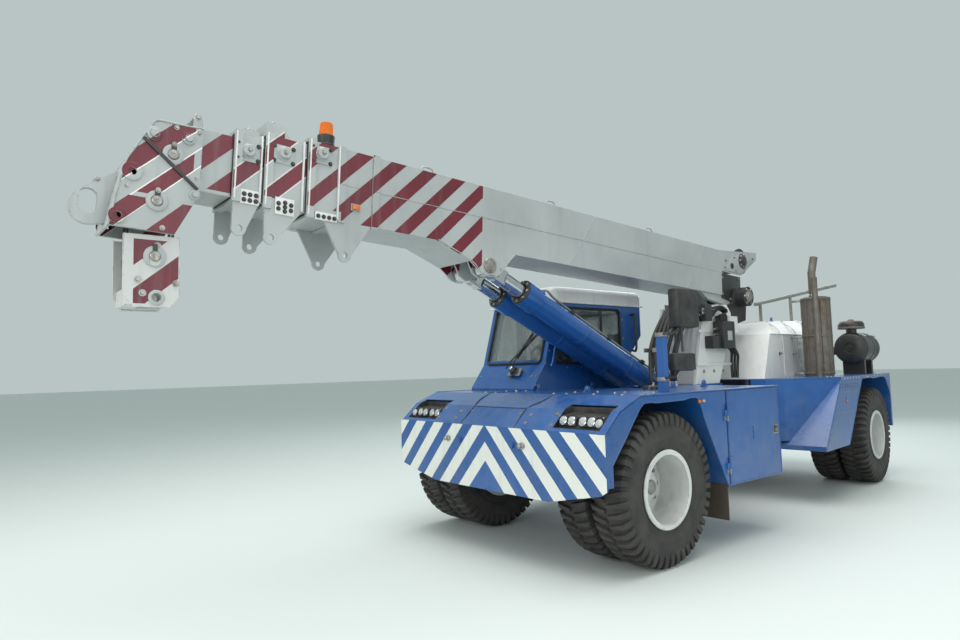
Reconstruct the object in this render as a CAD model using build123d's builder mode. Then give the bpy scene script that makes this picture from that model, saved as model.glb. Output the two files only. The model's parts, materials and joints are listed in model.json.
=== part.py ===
"""Articulated pick-and-carry mobile crane, an assembly of separate pieces.

Millimetres.  +X is forward, +Y is the machine's left, +Z is up.  Everything is drawn from the
ground under the middle of the front axle, with the rear half straight behind the front half.  At
the end the rear half is turned about the articulation pin to its parked angle, and the whole
machine is moved so that the origin is under the middle of its overall box.
"""
import os
from math import atan2, cos, degrees, hypot, radians, sin

from build123d import *

# ------------------------------------------------------------------ driving dimensions
WHEELBASE = 4450.0
BODY_HALF = 1235.0          # half width over the side plates
BODY_TOP = 1250.0           # deck height
PLATE = 10.0                # body side plate
SHEET = 6.0                 # deck and liner sheet
RUN_GAP = 0.3               # gap at a hinge, pin or seat
CLEAR = 6.0                 # gap between pieces that pass each other

TYRE_R = 560.0
TYRE_W = 290.0
TWIN_GAP = 40.0             # gap between a pair of tyres
TWIN_PITCH = TYRE_W + TWIN_GAP
TYRE_OUT_Y = BODY_HALF - 7.0 - TYRE_W / 2       # centre of the outer tyre
CARCASS = 30.0              # tyre wall
BEAD_R = 262.0
RIM_FLANGE_R = 278.0
RIM_WALL = 12.0
SPINDLE_R = 70.0
HUB_R = 130.0

REAR_AXLE_X = -WHEELBASE
STEER_X = -1960.0           # articulation pin
STEER_PIN_R = 60.0
STEER_REST = 5.5            # parked angle of the rear half, degrees
FRONT_TAIL_X = -1660.0      # where the front half's side bodies end

AXLE_Z = TYRE_R
RAIL_IN, RAIL_OUT = 280.0, 360.0
RAIL_LOW, RAIL_TOP = 660.0, 960.0
SLOT_HALF = 280.0           # slot in the deck for the lift rams
LINER_IN = TYRE_OUT_Y - TWIN_PITCH - TYRE_W / 2 - 48.0      # inner edge of the wheel arch liners
LOCKER_IN = LINER_IN + 60.0                     # inner wall of the side locker

BOOM_PIN = (-2900.0, 2200.0)        # x, z of the boom's heel pin
BOOM_REST = 3.1                     # parked boom angle, degrees
BOOM_PIN_R = 55.0
RAM_FOOT = (-1550.0, 1170.0)        # x, z of the lift rams' lower pin
RAM_EYE_U, RAM_EYE_W = 3680.0, -124.0   # upper ram pin, along and square to the boom
RAM_Y = 145.0
RAM_EYE_HALF = 45.0
RAM_BARREL_R = 98.0
RAM_ROD_R = 62.0
RAM_BARREL_END = 2150.0             # gland end, from the lower pin

SECTION_WALL = 6.0
SECTION_GAP = 5.5
WEAR_PAD = 5.2                      # pad between two boom sections, in their gap
SECTION_SIDE_STEP = 17.0
SECTION_TOP_STEP = 30.0
BOOM_HALF = 210.0
BOOM_DEPTH = 500.0
BASE_REAR, BASE_FRONT = 310.0, 5220.0

CAB_NEAR, CAB_FAR = -300.0, 20.0 - BODY_HALF
CAB_WALL = 30.0
CAB_FLOOR = 720.0
CAB_LOW_NEAR = -372.0               # near wall below the ledge that clears the frame rail
CAB_LEDGE = 972.0
CAB_EAVES = 2090.0
CAB_TOP = 2250.0


# ------------------------------------------------------------------ work planes
def at_y(y):
    """Side view plane: local x is +X, local y is +Z, and it grows towards -Y."""
    return Plane(origin=(0, y, 0), x_dir=(1, 0, 0), z_dir=(0, -1, 0))


def at_x(x):
    """Front view plane: local x is +Y, local y is +Z, and it grows towards +X."""
    return Plane(origin=(x, 0, 0), x_dir=(0, 1, 0), z_dir=(1, 0, 0))


def at_z(z):
    """Plan view plane: local x is +X, local y is +Y, and it grows towards +Z."""
    return Plane.XY.offset(z)


BOOM_DIR = (cos(radians(BOOM_REST)), 0, sin(radians(BOOM_REST)))
BOOM_UP = (-BOOM_DIR[2], 0, BOOM_DIR[0])


def boom_point(u, w, y=0.0):
    """A point of the boom: u along it and w square to it, both from the heel pin."""
    return (BOOM_PIN[0] + u * BOOM_DIR[0] + w * BOOM_UP[0], y, BOOM_PIN[1] + u * BOOM_DIR[2] + w * BOOM_UP[2])


def boom_side(y):
    """Side view plane of the boom: local x is u, local y is w, growing towards -Y."""
    return Plane(origin=boom_point(0, 0, y), x_dir=BOOM_DIR, z_dir=(0, -1, 0))


def boom_cross(u):
    """Cross plane of the boom: local x is +Y, local y is w, growing along the boom."""
    return Plane(origin=boom_point(u, 0), x_dir=(0, 1, 0), z_dir=BOOM_DIR)


# ------------------------------------------------------------------ small makers
def plate(points, plane, thickness):
    """A flat plate: its outline on a plane, and its thickness along the plane's normal."""
    with BuildPart() as made:
        with BuildSketch(plane):
            with BuildLine():
                Polyline(*points, close=True)
            make_face()
        extrude(amount=thickness)
    return made.part


def block(low, high):
    """A rectangular block between two corners."""
    size = [b - a for a, b in zip(low, high)]
    with BuildPart() as made:
        with Locations(((low[0] + high[0]) / 2, (low[1] + high[1]) / 2, (low[2] + high[2]) / 2)):
            Box(*size)
    return made.part


def folded(path, thickness):
    """Outline of a folded sheet: an open path, and back along it one thickness to its left."""
    turned = []
    for i, (x, y) in enumerate(path):
        before = path[max(i - 1, 0)]
        after = path[min(i + 1, len(path) - 1)]
        ways = [(b[0] - a[0], b[1] - a[1]) for a, b in ((before, (x, y)), ((x, y), after)) if a != b]
        normals = [(-dy / hypot(dx, dy), dx / hypot(dx, dy)) for dx, dy in ways]
        nx = sum(n[0] for n in normals) / len(normals)
        ny = sum(n[1] for n in normals) / len(normals)
        scale = thickness / (nx * nx + ny * ny)
        turned.append((x + nx * scale, y + ny * scale))
    return list(path) + turned[::-1]


def pin_y(x, z, radius, y_low, y_high):
    """A round bar along Y."""
    with BuildPart() as made:
        with BuildSketch(at_y(y_high)):
            with Locations((x, z)):
                Circle(radius)
        extrude(amount=y_high - y_low)
    return made.part


def pin_z(x, y, radius, z_low, z_high):
    """A round bar along Z."""
    with BuildPart() as made:
        with BuildSketch(at_z(z_low)):
            with Locations((x, y)):
                Circle(radius)
        extrude(amount=z_high - z_low)
    return made.part


def both_sides(piece):
    """A piece and its mirror image across the machine's centre plane."""
    return [piece, mirror(piece, about=Plane.XZ)]


# ------------------------------------------------------------------ front frame
BULKHEAD = (-1790.0, FRONT_TAIL_X)
YOKE_TOP = (1130.0, BODY_TOP)
YOKE_LOW = (600.0, RAIL_LOW)
YOKE_R = 170.0
TOWER_FOOT = (-2340.0, -1880.0)

rails = both_sides(block((BULKHEAD[1], RAIL_IN, RAIL_LOW), (600, RAIL_OUT, RAIL_TOP)))
cross_members = [block((x0, -RAIL_IN, z0), (x1, RAIL_IN, z1))
                 for x0, x1, z0, z1 in ((480, 600, RAIL_LOW, RAIL_TOP), (-900, -800, RAIL_LOW, 800))]
bulkhead = block((BULKHEAD[0], -460, YOKE_LOW[0]), (BULKHEAD[1], 460, BODY_TOP))
yoke_upper = block((TOWER_FOOT[0], -300, YOKE_TOP[0]), (BULKHEAD[0], 300, YOKE_TOP[1]))
with BuildPart() as yoke_lower:
    with BuildSketch(at_z(YOKE_LOW[0])):
        with Locations(((STEER_X + BULKHEAD[0]) / 2, 0)):
            Rectangle(BULKHEAD[0] - STEER_X, 2 * YOKE_R)
        with Locations((STEER_X, 0)):
            Circle(YOKE_R)
    extrude(amount=YOKE_LOW[1] - YOKE_LOW[0])
RAM_LUG_R = 85.0
RAM_LUG_T = 22.0
RAM_FOOT_PIN_R = 40.0
ram_lugs = []
for side in (1, -1):
    for inner in (RAM_EYE_HALF + CLEAR, -RAM_EYE_HALF - CLEAR - RAM_LUG_T):
        y_low = side * RAM_Y + inner
        with BuildPart() as lug:
            with BuildSketch(at_y(y_low + RAM_LUG_T)):
                with Locations(((RAM_FOOT[0] + BULKHEAD[1]) / 2, RAM_FOOT[1])):
                    Rectangle(RAM_FOOT[0] - BULKHEAD[1], 2 * RAM_LUG_R)
                with Locations(RAM_FOOT):
                    Circle(RAM_LUG_R)
            extrude(amount=RAM_LUG_T)
        ram_lugs.append(lug.part)
    ram_lugs.append(pin_y(*RAM_FOOT, RAM_FOOT_PIN_R, side * RAM_Y - RAM_EYE_HALF - CLEAR - RAM_LUG_T,
                          side * RAM_Y + RAM_EYE_HALF + CLEAR + RAM_LUG_T))
steer_pin = pin_z(STEER_X, 0, STEER_PIN_R, YOKE_LOW[0], YOKE_TOP[1])
BUMPER_BACK = 698.0
horns = both_sides(block((600, RAIL_IN, RAIL_LOW), (BUMPER_BACK, RAIL_OUT, RAIL_TOP)))
OUTRIGGER_Z = (RAIL_TOP - 60.0, RAIL_TOP)
BRACKET_X = (-1300.0, -1220.0)
side_brackets = [block((BRACKET_X[0], y_low, OUTRIGGER_Z[0]), (BRACKET_X[1], y_high, OUTRIGGER_Z[1]))
                 for y_low, y_high in ((RAIL_OUT, LOCKER_IN), (CAB_LOW_NEAR, -RAIL_OUT))]
with BuildPart() as front_frame:
    add(rails + cross_members + [bulkhead, yoke_upper, yoke_lower.part, steer_pin] + ram_lugs)
    add(horns + side_brackets)

# ------------------------------------------------------------------ bumper
BUMPER_X = 710.0
BUMPER_HALF = BODY_HALF + 10.0
BUMPER_TOP = 1010.0
BUMPER_LOW = 505.0
BUMPER_END_LOW = 640.0
half_outline = ((0, BUMPER_LOW), (0.56 * BUMPER_HALF, BUMPER_LOW), (BUMPER_HALF - 55, 606),
                (BUMPER_HALF, BUMPER_END_LOW), (BUMPER_HALF, BUMPER_TOP))
bumper_outline = [(-y, z) for y, z in reversed(half_outline)][:-1] + list(half_outline)
BUMPER_RETURN = 60.0
returns = both_sides(block((BUMPER_BACK - BUMPER_RETURN, BODY_HALF, BUMPER_END_LOW + 20),
                           (BUMPER_BACK, BUMPER_HALF, BUMPER_TOP)))
TOW_PIN_Y = 330.0
tow_bosses = [Plane(origin=(BUMPER_X, y, 880), z_dir=(1, 0, 0)) for y in (TOW_PIN_Y, -TOW_PIN_Y)]
with BuildPart() as front_bumper:
    with BuildSketch(at_x(BUMPER_BACK)):
        with BuildLine():
            Polyline(*bumper_outline, close=True)
        make_face()
    extrude(amount=BUMPER_X - BUMPER_BACK)
    add(returns)
    for boss in tow_bosses:
        with BuildSketch(boss):
            Circle(22)
        extrude(amount=18)

# ------------------------------------------------------------------ front deck, lamps, fenders
SLOPE_TOP_X, SLOPE_KNEE = 300.0, (537.0, 1155.0)
DECK_FRONT = (BUMPER_BACK, BUMPER_TOP)
CAB_FRONT_X = -120.0
deck_top = ((FRONT_TAIL_X, BODY_TOP), (SLOPE_TOP_X, BODY_TOP), SLOPE_KNEE, DECK_FRONT)
LAMP_Y = (BODY_HALF - 505.0, BODY_HALF - 65.0)
LAMP_Z = (1030.0, 1140.0)
LAMP_BACK_X = 454.0
DECK_SLOT = (FRONT_TAIL_X - 1.0, -950.0)
lamp_cut = block((LAMP_BACK_X, LAMP_Y[0], LAMP_Z[0]), (BUMPER_BACK + 60, LAMP_Y[1], LAMP_Z[1] + 60))
with BuildPart() as front_deck:
    with BuildSketch(at_y(BODY_HALF)):
        with BuildLine():
            Polyline(*folded(deck_top, -SHEET), close=True)
        make_face()
    extrude(amount=2 * BODY_HALF)
    add(block((DECK_SLOT[0], -SLOT_HALF, 1200), (DECK_SLOT[1], SLOT_HALF, 1300)), mode=Mode.SUBTRACT)
    add(block((DECK_SLOT[0], CAB_FAR - 30, 1200), (CAB_FRONT_X, CAB_NEAR, 1300)), mode=Mode.SUBTRACT)
    add(both_sides(lamp_cut), mode=Mode.SUBTRACT)

LAMP_TRAY_X = 664.0
LAMP_CHEEK = 4.0
knee_fall = (SLOPE_KNEE[1] - DECK_FRONT[1]) / (DECK_FRONT[0] - SLOPE_KNEE[0])
top_fall = (BODY_TOP - SLOPE_KNEE[1]) / (SLOPE_KNEE[0] - SLOPE_TOP_X)
lamp_cheek_side = ((LAMP_BACK_X, LAMP_Z[0] - SHEET), (LAMP_TRAY_X, LAMP_Z[0] - SHEET),
                   (LAMP_TRAY_X, SLOPE_KNEE[1] - (LAMP_TRAY_X - SLOPE_KNEE[0]) * knee_fall), SLOPE_KNEE,
                   (LAMP_BACK_X, BODY_TOP - (LAMP_BACK_X - SLOPE_TOP_X) * top_fall))
lamp_side = ((LAMP_BACK_X, LAMP_Z[0] - 1), (610, LAMP_Z[0] - 1), (575, LAMP_Z[1] - 25),
             (LAMP_BACK_X, LAMP_Z[1] - 10))
lamp_tray = block((LAMP_BACK_X, LAMP_Y[0], LAMP_Z[0] - SHEET), (LAMP_TRAY_X, LAMP_Y[1], LAMP_Z[0]))
lamp_back = block((LAMP_BACK_X, LAMP_Y[0], LAMP_Z[0] - 1),
                  (LAMP_BACK_X + LAMP_CHEEK, LAMP_Y[1], LAMP_Z[1] + 30))
lamp_pieces = [plate(lamp_side, at_y(LAMP_Y[1] - 1), LAMP_Y[1] - LAMP_Y[0] - 2), lamp_tray, lamp_back,
               plate(lamp_cheek_side, at_y(LAMP_Y[1]), LAMP_CHEEK),
               plate(lamp_cheek_side, at_y(LAMP_Y[0] + LAMP_CHEEK), LAMP_CHEEK)]
with BuildPart() as headlamps:
    for piece in lamp_pieces:
        add(both_sides(piece))

ARCH = ((683, 743), (280, 1191), (-400, 1204), (-777, 498))
FENDER_BACK_X = -790.0
SKIRT_LOW = 480.0
SIDE_TOP = BODY_TOP - SHEET - 3.0
side_front = ((BUMPER_BACK, ARCH[0][1] - 13), (BUMPER_BACK, DECK_FRONT[1] - 12),
              (SLOPE_KNEE[0] - 8, SLOPE_KNEE[1] - 9), (SLOPE_TOP_X, SIDE_TOP))
side_back = ((FENDER_BACK_X, SIDE_TOP), (FENDER_BACK_X, SKIRT_LOW), (ARCH[3][0], SKIRT_LOW))
fender_outline = side_front + side_back + ARCH[::-1]
fender_skin = plate(fender_outline, at_y(BODY_HALF), PLATE)
arch_liner = plate(folded(ARCH, -SHEET), at_y(BODY_HALF - PLATE), BODY_HALF - PLATE - LINER_IN)
with BuildPart() as front_fenders:
    add(both_sides(fender_skin) + both_sides(arch_liner))

# ------------------------------------------------------------------ locker behind the left arch
LOCKER_X = (FRONT_TAIL_X, -800.0)
LOCKER_Z = (SKIRT_LOW, SIDE_TOP)
locker_low = (LOCKER_X[0], LOCKER_IN, LOCKER_Z[0])
locker_high = (LOCKER_X[1], BODY_HALF - PLATE - 1, LOCKER_Z[1])
DOOR_GAP = 6.0
with BuildPart() as locker_box:
    add(block(locker_low, locker_high))
    add(block((locker_low[0] + SHEET, LOCKER_IN + SHEET, locker_low[2] + SHEET),
              (locker_high[0] - SHEET, BODY_HALF, locker_high[2] - SHEET)), mode=Mode.SUBTRACT)
LOCKER_HINGE = (LOCKER_X[1] - DOOR_GAP, BODY_HALF)      # x, y of the door's hinge line
LATCH = (-1170.0, 875.0)
locker_panel = block((LOCKER_X[0], BODY_HALF - PLATE, LOCKER_Z[0] + DOOR_GAP),
                     (LOCKER_HINGE[0], BODY_HALF, LOCKER_Z[1] - DOOR_GAP))
with BuildPart() as locker_door:
    add(locker_panel)
    with BuildSketch(Plane(origin=(LATCH[0], BODY_HALF, LATCH[1]), x_dir=(1, 0, 0), z_dir=(0, 1, 0))):
        RectangleRounded(70, 110, 12)
    extrude(amount=-4, mode=Mode.SUBTRACT)

# ------------------------------------------------------------------ mudflaps
FLAP_X = FENDER_BACK_X
FLAP_BACK_X = LOCKER_X[1]
FLAP_Y = (TYRE_OUT_Y - TWIN_PITCH - TYRE_W / 2 + 15.0, TYRE_OUT_Y + TYRE_W / 2 - 15.0)
flap = block((FLAP_BACK_X, FLAP_Y[0], 210), (FLAP_X, FLAP_Y[1], 560))
liner_end, liner_up = folded(ARCH, -SHEET)[4:6]
hanger_top = tuple(a + 0.09 * (b - a) for a, b in zip(liner_end, liner_up))
hanger_side = ((FLAP_X, liner_end[1]), liner_end, hanger_top, (FLAP_X, hanger_top[1]))
flap_hanger = plate(hanger_side, at_y(FLAP_Y[1]), FLAP_Y[1] - FLAP_Y[0])
with BuildPart() as front_mudflaps:
    add(both_sides(flap) + both_sides(flap_hanger))

# ------------------------------------------------------------------ axles and wheels
HUB_SEAT_Y = TYRE_OUT_Y - TWIN_PITCH / 2        # the wheel discs meet here
SPINDLE_END = HUB_SEAT_Y - 25.0
HUB_BACK_Y = HUB_SEAT_Y - 298.0
HUB_CAP_Y = HUB_SEAT_Y + 147.0
AXLE_TUBE_R = 90.0
AXLE_TUBE_END = HUB_SEAT_Y - 328.0
DIFF_R = 190.0
DIFF_HALF = 160.0
SADDLE = (60.0, 45.0)                           # half length, half width past the rail


def make_axle(x, rail_low):
    """A drive axle: tube, spindles, differential housing and the saddles under the rails."""
    tube = pin_y(x, AXLE_Z, AXLE_TUBE_R, -AXLE_TUBE_END, AXLE_TUBE_END)
    spindle = pin_y(x, AXLE_Z, SPINDLE_R, -SPINDLE_END, SPINDLE_END)
    saddle = block((x - SADDLE[0], RAIL_IN - 5, AXLE_Z), (x + SADDLE[0], RAIL_OUT + 5, rail_low))
    with BuildPart() as axle:
        add([tube, spindle] + both_sides(saddle))
        with BuildSketch(at_x(x)):
            with BuildLine():
                Line((-DIFF_HALF, AXLE_Z), (DIFF_HALF, AXLE_Z))
                ThreePointArc((DIFF_HALF, AXLE_Z), (0, AXLE_Z + DIFF_R), (-DIFF_HALF, AXLE_Z))
            make_face()
        revolve(axis=Axis((x, 0, AXLE_Z), (0, 1, 0)), revolution_arc=360)
    return axle.part


def make_pair(x, side):
    """Twin tyres and their joined rims on one side of an axle: (tyres, rims)."""
    centre = Plane(origin=(x, 0, AXLE_Z), x_dir=(0, side, 0), z_dir=(1, 0, 0))
    spin = Axis((x, 0, AXLE_Z), (0, 1, 0))
    middles = (TYRE_OUT_Y - TWIN_PITCH, TYRE_OUT_Y)
    half = TYRE_W / 2
    tread = half - 27.0
    shoulder = 34.0
    bead = half - 19.0
    with BuildPart() as tyres:
        with BuildSketch(centre):
            for mid in middles:
                for grow, mode in ((0, Mode.ADD), (CARCASS, Mode.SUBTRACT)):
                    low = BEAD_R + RUN_GAP - (5 if grow else 0)
                    with BuildLine():
                        Polyline((mid - bead + grow, low), (mid - bead + grow, RIM_FLANGE_R + 4),
                                 (mid - half + grow, 400), (mid - half + grow, 470),
                                 (mid - half + grow, TYRE_R - shoulder - grow), (mid - tread, TYRE_R - grow),
                                 (mid + tread, TYRE_R - grow), (mid + half - grow, TYRE_R - shoulder - grow),
                                 (mid + half - grow, 470), (mid + half - grow, 400),
                                 (mid + bead - grow, RIM_FLANGE_R + 4), (mid + bead - grow, low), close=True)
                    make_face(mode=mode)
        revolve(axis=spin, revolution_arc=360)
    flange = bead + RUN_GAP
    lip = 12.0
    disc = 16.0
    disc_lows = (middles[0] + flange + lip - disc, middles[1] - flange - lip)
    hub_end = disc_lows[1] + disc
    with BuildPart() as rims:
        with BuildSketch(centre):
            for mid, disc_low in zip(middles, disc_lows):
                with BuildLine():
                    Polyline((mid - flange - lip, BEAD_R - RIM_WALL), (mid - flange - lip, RIM_FLANGE_R),
                             (mid - flange, RIM_FLANGE_R), (mid - flange, BEAD_R), (mid + flange, BEAD_R),
                             (mid + flange, RIM_FLANGE_R), (mid + flange + lip, RIM_FLANGE_R),
                             (mid + flange + lip, BEAD_R - RIM_WALL), close=True)
                make_face()
                with Locations((disc_low + disc / 2, (BEAD_R - RIM_WALL / 2 + HUB_R - 10) / 2)):
                    Rectangle(disc, BEAD_R - RIM_WALL / 2 - HUB_R + 10)
        revolve(axis=spin, revolution_arc=360)
        with BuildSketch(centre):
            with BuildLine():
                Polyline((HUB_BACK_Y, SPINDLE_R + 0.05), (SPINDLE_END + 5, SPINDLE_R + 0.05),
                         (SPINDLE_END + 5, 0), (HUB_CAP_Y, 0), (HUB_CAP_Y, 60), (HUB_CAP_Y - 30, 112),
                         (hub_end + 6, 124),
                         (hub_end, HUB_R), (HUB_BACK_Y + 100, HUB_R), (HUB_BACK_Y, 95), close=True)
            make_face()
        revolve(axis=spin, revolution_arc=360)
    return tyres.part, rims.part


front_axle = make_axle(0, RAIL_LOW)
wheels = {}
for end, x in (("front", 0), ("rear", REAR_AXLE_X)):
    for side_name, side in (("left", 1), ("right", -1)):
        wheels[end, side_name] = make_pair(x, side)

# ------------------------------------------------------------------ boom tower
TOWER_IN, TOWER_OUT = 240.0, 270.0
TOWER_WEB = ((-1930, BODY_TOP + 3.4), (-2085, 1960))
tower_outline = ((TOWER_FOOT[1], BODY_TOP), (TOWER_FOOT[0], BODY_TOP), (-2640, 1860), (-2640, 2010),
                 (-2560, 2100), (-2110, 2075))
tower_side = plate(tower_outline, at_y(TOWER_OUT), TOWER_OUT - TOWER_IN)
tower_web = plate(folded(TOWER_WEB, 14.0), at_y(TOWER_IN), 2 * TOWER_IN)
valve_body = block((-2560, TOWER_OUT, 1780), (-2400, TOWER_OUT + 120, 1960))
with BuildPart() as boom_tower:
    add(both_sides(tower_side) + [tower_web, valve_body])

HEAD_IN = 205.0
head_outline = ((-2330, 1770), (-2700, 1870), (-3010, 1940), (-3050, 2190), (-2980, 2290), (-2840, 2300),
                (-2760, 2130), (-2330, 2040))
head_side = plate(head_outline, at_y(TOWER_IN), TOWER_IN - HEAD_IN)
HEAD_BOSS_R = 110.0
HEAD_BOSS_OUT = 350.0
head_boss = pin_y(*BOOM_PIN, HEAD_BOSS_R, TOWER_IN, HEAD_BOSS_OUT)
heel_pin = pin_y(*BOOM_PIN, BOOM_PIN_R, -TOWER_IN, TOWER_IN)
with BuildPart() as tower_head:
    add(both_sides(head_side) + both_sides(head_boss) + [heel_pin])

# ------------------------------------------------------------------ hydraulic hoses up the tower
HOSE_R = 19.0
HOSE_FOOT = (-1722.0, BODY_TOP)
HOSE_ROUTE = ((-1722, 1400), (-1765, 1560), (-1840, 1710), (-1915, 1820))
HOSE_END_Z = 1850.0
HOSE_LANES = ((-170, 0), (-110, 35), (-50, 10), (50, 25), (110, 5), (170, 40))    # y, and each one's shift
web_run = (TOWER_WEB[1][0] - TOWER_WEB[0][0], TOWER_WEB[1][1] - TOWER_WEB[0][1])
web_normal = (web_run[1] / hypot(*web_run), -web_run[0] / hypot(*web_run))


def tube_along(points, radius):
    """A round tube along straight runs joined by tangent arcs as large as the runs allow."""
    runs = [(Vector(*b) - Vector(*a)) for a, b in zip(points, points[1:])]
    bends = []
    for before, after in zip(runs, runs[1:]):
        turn = radians(before.get_angle(after))
        bends.append(0.45 * min(before.length, after.length) / (sin(turn / 2) / cos(turn / 2)))
    with BuildPart() as tube:
        with BuildLine() as path:
            FilletPolyline(*points, radius=bends)
        with BuildSketch(Plane(origin=path.line @ 0, z_dir=path.line % 0)):
            Circle(radius)
        sweep()
    return tube.part


def on_web(z, proud):
    """x and z of a point of the tower web's front face at a height, or square off it."""
    x = TOWER_WEB[0][0] + (z - TOWER_WEB[0][1]) * web_run[0] / web_run[1]
    return x + proud * web_normal[0], z + proud * web_normal[1]


hoses = []
for y, shift in HOSE_LANES:
    side_route = [HOSE_FOOT] + list(HOSE_ROUTE)
    side_route = [(x + shift, z + (shift if i else 0)) for i, (x, z) in enumerate(side_route)]
    side_route += [on_web(HOSE_END_Z + shift, 90), on_web(HOSE_END_Z + shift, 0)]
    hoses.append(tube_along([(x, y, z) for x, z in side_route], HOSE_R))
with BuildPart() as tower_hoses:
    add(hoses)

# ------------------------------------------------------------------ mirrors
POST_Y = BODY_HALF - 175.0
post = block((-250, POST_Y - 30, BODY_TOP), (-190, POST_Y + 30, 1700))
with BuildPart() as mirror_posts:
    add(post)
big_mirror = block((-660, POST_Y - 45, 1740), (-350, POST_Y + 95, 2070))
small_mirror = block((-590, POST_Y - 30, 1400), (-300, POST_Y + 90, 1555))
big_arm = block((-500, POST_Y - 14, 1640), (-470, POST_Y + 14, 1740))
big_reach = block((-500, POST_Y - 14, 1640), (-250, POST_Y + 14, 1668))
small_reach = block((-440, POST_Y - 14, 1320), (-250, POST_Y + 14, 1345))
small_arm = block((-440, POST_Y - 14, 1320), (-415, POST_Y + 14, 1400))
with BuildPart() as mirrors:
    add([big_mirror, small_mirror, big_arm, big_reach, small_reach, small_arm])


# ------------------------------------------------------------------ hinges
KNUCKLE_R, KNUCKLE_H = 11.0, 45.0
HINGE_PIN_R = 5.0


def hinge_z(x, y, z, fixed_to, moving_to):
    """One butt hinge on a vertical line: (fixed half, moving half).

    fixed_to and moving_to are the far x, and the y of the face that each leaf lies on.
    """
    halves = []
    for (leaf_x, face_y), low in ((fixed_to, z), (moving_to, z + KNUCKLE_H + RUN_GAP)):
        leaf = block((min(x, leaf_x), min(y - 2, face_y), low),
                     (max(x, leaf_x), max(y + 2, face_y), low + KNUCKLE_H))
        with BuildPart() as half:
            add([pin_z(x, y, KNUCKLE_R, low, low + KNUCKLE_H), leaf])
        halves.append(half.part)
    fixed, moving = halves
    top = z + 2 * KNUCKLE_H + RUN_GAP
    with BuildPart() as with_pin:
        add([fixed, pin_z(x, y, HINGE_PIN_R, z, top)])
    with BuildPart() as with_bore:
        add(moving)
        add(pin_z(x, y, HINGE_PIN_R + RUN_GAP, z, top + 1), mode=Mode.SUBTRACT)
    return with_pin.part, with_bore.part


LOCKER_AXIS = (LOCKER_HINGE[0] + 6.0, BODY_HALF + KNUCKLE_R + 1)
for z in (620, 1040):
    fixed, moving = hinge_z(*LOCKER_AXIS, z, (LOCKER_AXIS[0] + 45, BODY_HALF),
                            (LOCKER_AXIS[0] - 45, BODY_HALF))
    with front_fenders:
        add(fixed)
    with locker_door:
        add(moving)

# ------------------------------------------------------------------ cab
SCREEN_LOW, SCREEN_TOP = (-300.0, 1500.0), (-470.0, CAB_EAVES)
CAB_REAR, CAB_BACK_LOW = -1770.0, -1640.0
cab_outline = ((-130, 1222), (-130, 1270), SCREEN_LOW, SCREEN_TOP, (CAB_REAR, CAB_EAVES), (CAB_REAR, 1780),
               (-1500, 1500), (-1500, BODY_TOP + 6), (CAB_BACK_LOW, BODY_TOP + 6), (CAB_BACK_LOW, CAB_FLOOR),
               (-820, CAB_FLOOR), (-560, 1222))
SILL, HEADER = 1500.0, 2045.0
screen_way = (SCREEN_TOP[0] - SCREEN_LOW[0], SCREEN_TOP[1] - SCREEN_LOW[1])
screen_normal = (screen_way[1] / hypot(*screen_way), -screen_way[0] / hypot(*screen_way))


def on_screen(share, proud):
    """A point of the windscreen's slope, by its share of the height and its distance in front."""
    return (SCREEN_LOW[0] + share * screen_way[0] + proud * screen_normal[0],
            SCREEN_LOW[1] + share * screen_way[1] + proud * screen_normal[1])


near_window = ((-440, SILL), (-590, HEADER), (-1420, HEADER), (-1420, SILL))
far_window = ((-440, SILL), (-590, HEADER), (-770, HEADER), (-770, SILL))
screen_cut = (on_screen(0.07, 60), on_screen(0.92, 60), on_screen(0.92, -60), on_screen(0.07, -60))
SCREEN_Y = (CAB_FAR + 60, CAB_NEAR - 60)
REAR_WINDOW_Y, REAR_WINDOW_Z = (CAB_FAR + 110, CAB_NEAR - 110), (1810.0, HEADER)


def rear_window(x_low, x_high):
    """A block that fills the rear window between two places along X."""
    return block((x_low, REAR_WINDOW_Y[0], REAR_WINDOW_Z[0]), (x_high, REAR_WINDOW_Y[1], REAR_WINDOW_Z[1]))


DOOR_X, DOOR_Z = (-1470.0, -830.0), (765.0, 2050.0)
with BuildPart() as cab_room:
    with BuildSketch(at_y(CAB_NEAR - CAB_WALL)):
        with BuildLine():
            Polyline(*cab_outline, close=True)
        make_face()
        offset(amount=-CAB_WALL, kind=Kind.INTERSECTION, mode=Mode.REPLACE)
    extrude(amount=CAB_NEAR - CAB_FAR - 2 * CAB_WALL)
    add(block((CAB_BACK_LOW - 10, CAB_LOW_NEAR - CAB_WALL, CAB_FLOOR - 10),
              (CAB_FRONT_X, CAB_NEAR + 10, CAB_LEDGE + CAB_WALL)), mode=Mode.SUBTRACT)
with BuildPart() as cab_shell:
    with BuildSketch(at_y(CAB_NEAR)):
        with BuildLine():
            Polyline(*cab_outline, close=True)
        make_face()
    extrude(amount=CAB_NEAR - CAB_FAR)
    add(block((CAB_BACK_LOW - 10, CAB_LOW_NEAR, CAB_FLOOR - 10), (CAB_FRONT_X, CAB_NEAR + 10, CAB_LEDGE)),
        mode=Mode.SUBTRACT)
    add(cab_room.part, mode=Mode.SUBTRACT)
    add(plate(near_window, at_y(CAB_NEAR + 10), CAB_WALL + 20), mode=Mode.SUBTRACT)
    add(plate(far_window, at_y(CAB_FAR + CAB_WALL + 10), CAB_WALL + 20), mode=Mode.SUBTRACT)
    add(plate(screen_cut, at_y(SCREEN_Y[1]), SCREEN_Y[1] - SCREEN_Y[0]), mode=Mode.SUBTRACT)
    add(rear_window(CAB_REAR - 10, CAB_REAR + 50), mode=Mode.SUBTRACT)
    add(block((DOOR_X[0], CAB_FAR - 10, DOOR_Z[0]), (DOOR_X[1], CAB_FAR + 45, DOOR_Z[1])), mode=Mode.SUBTRACT)

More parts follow.
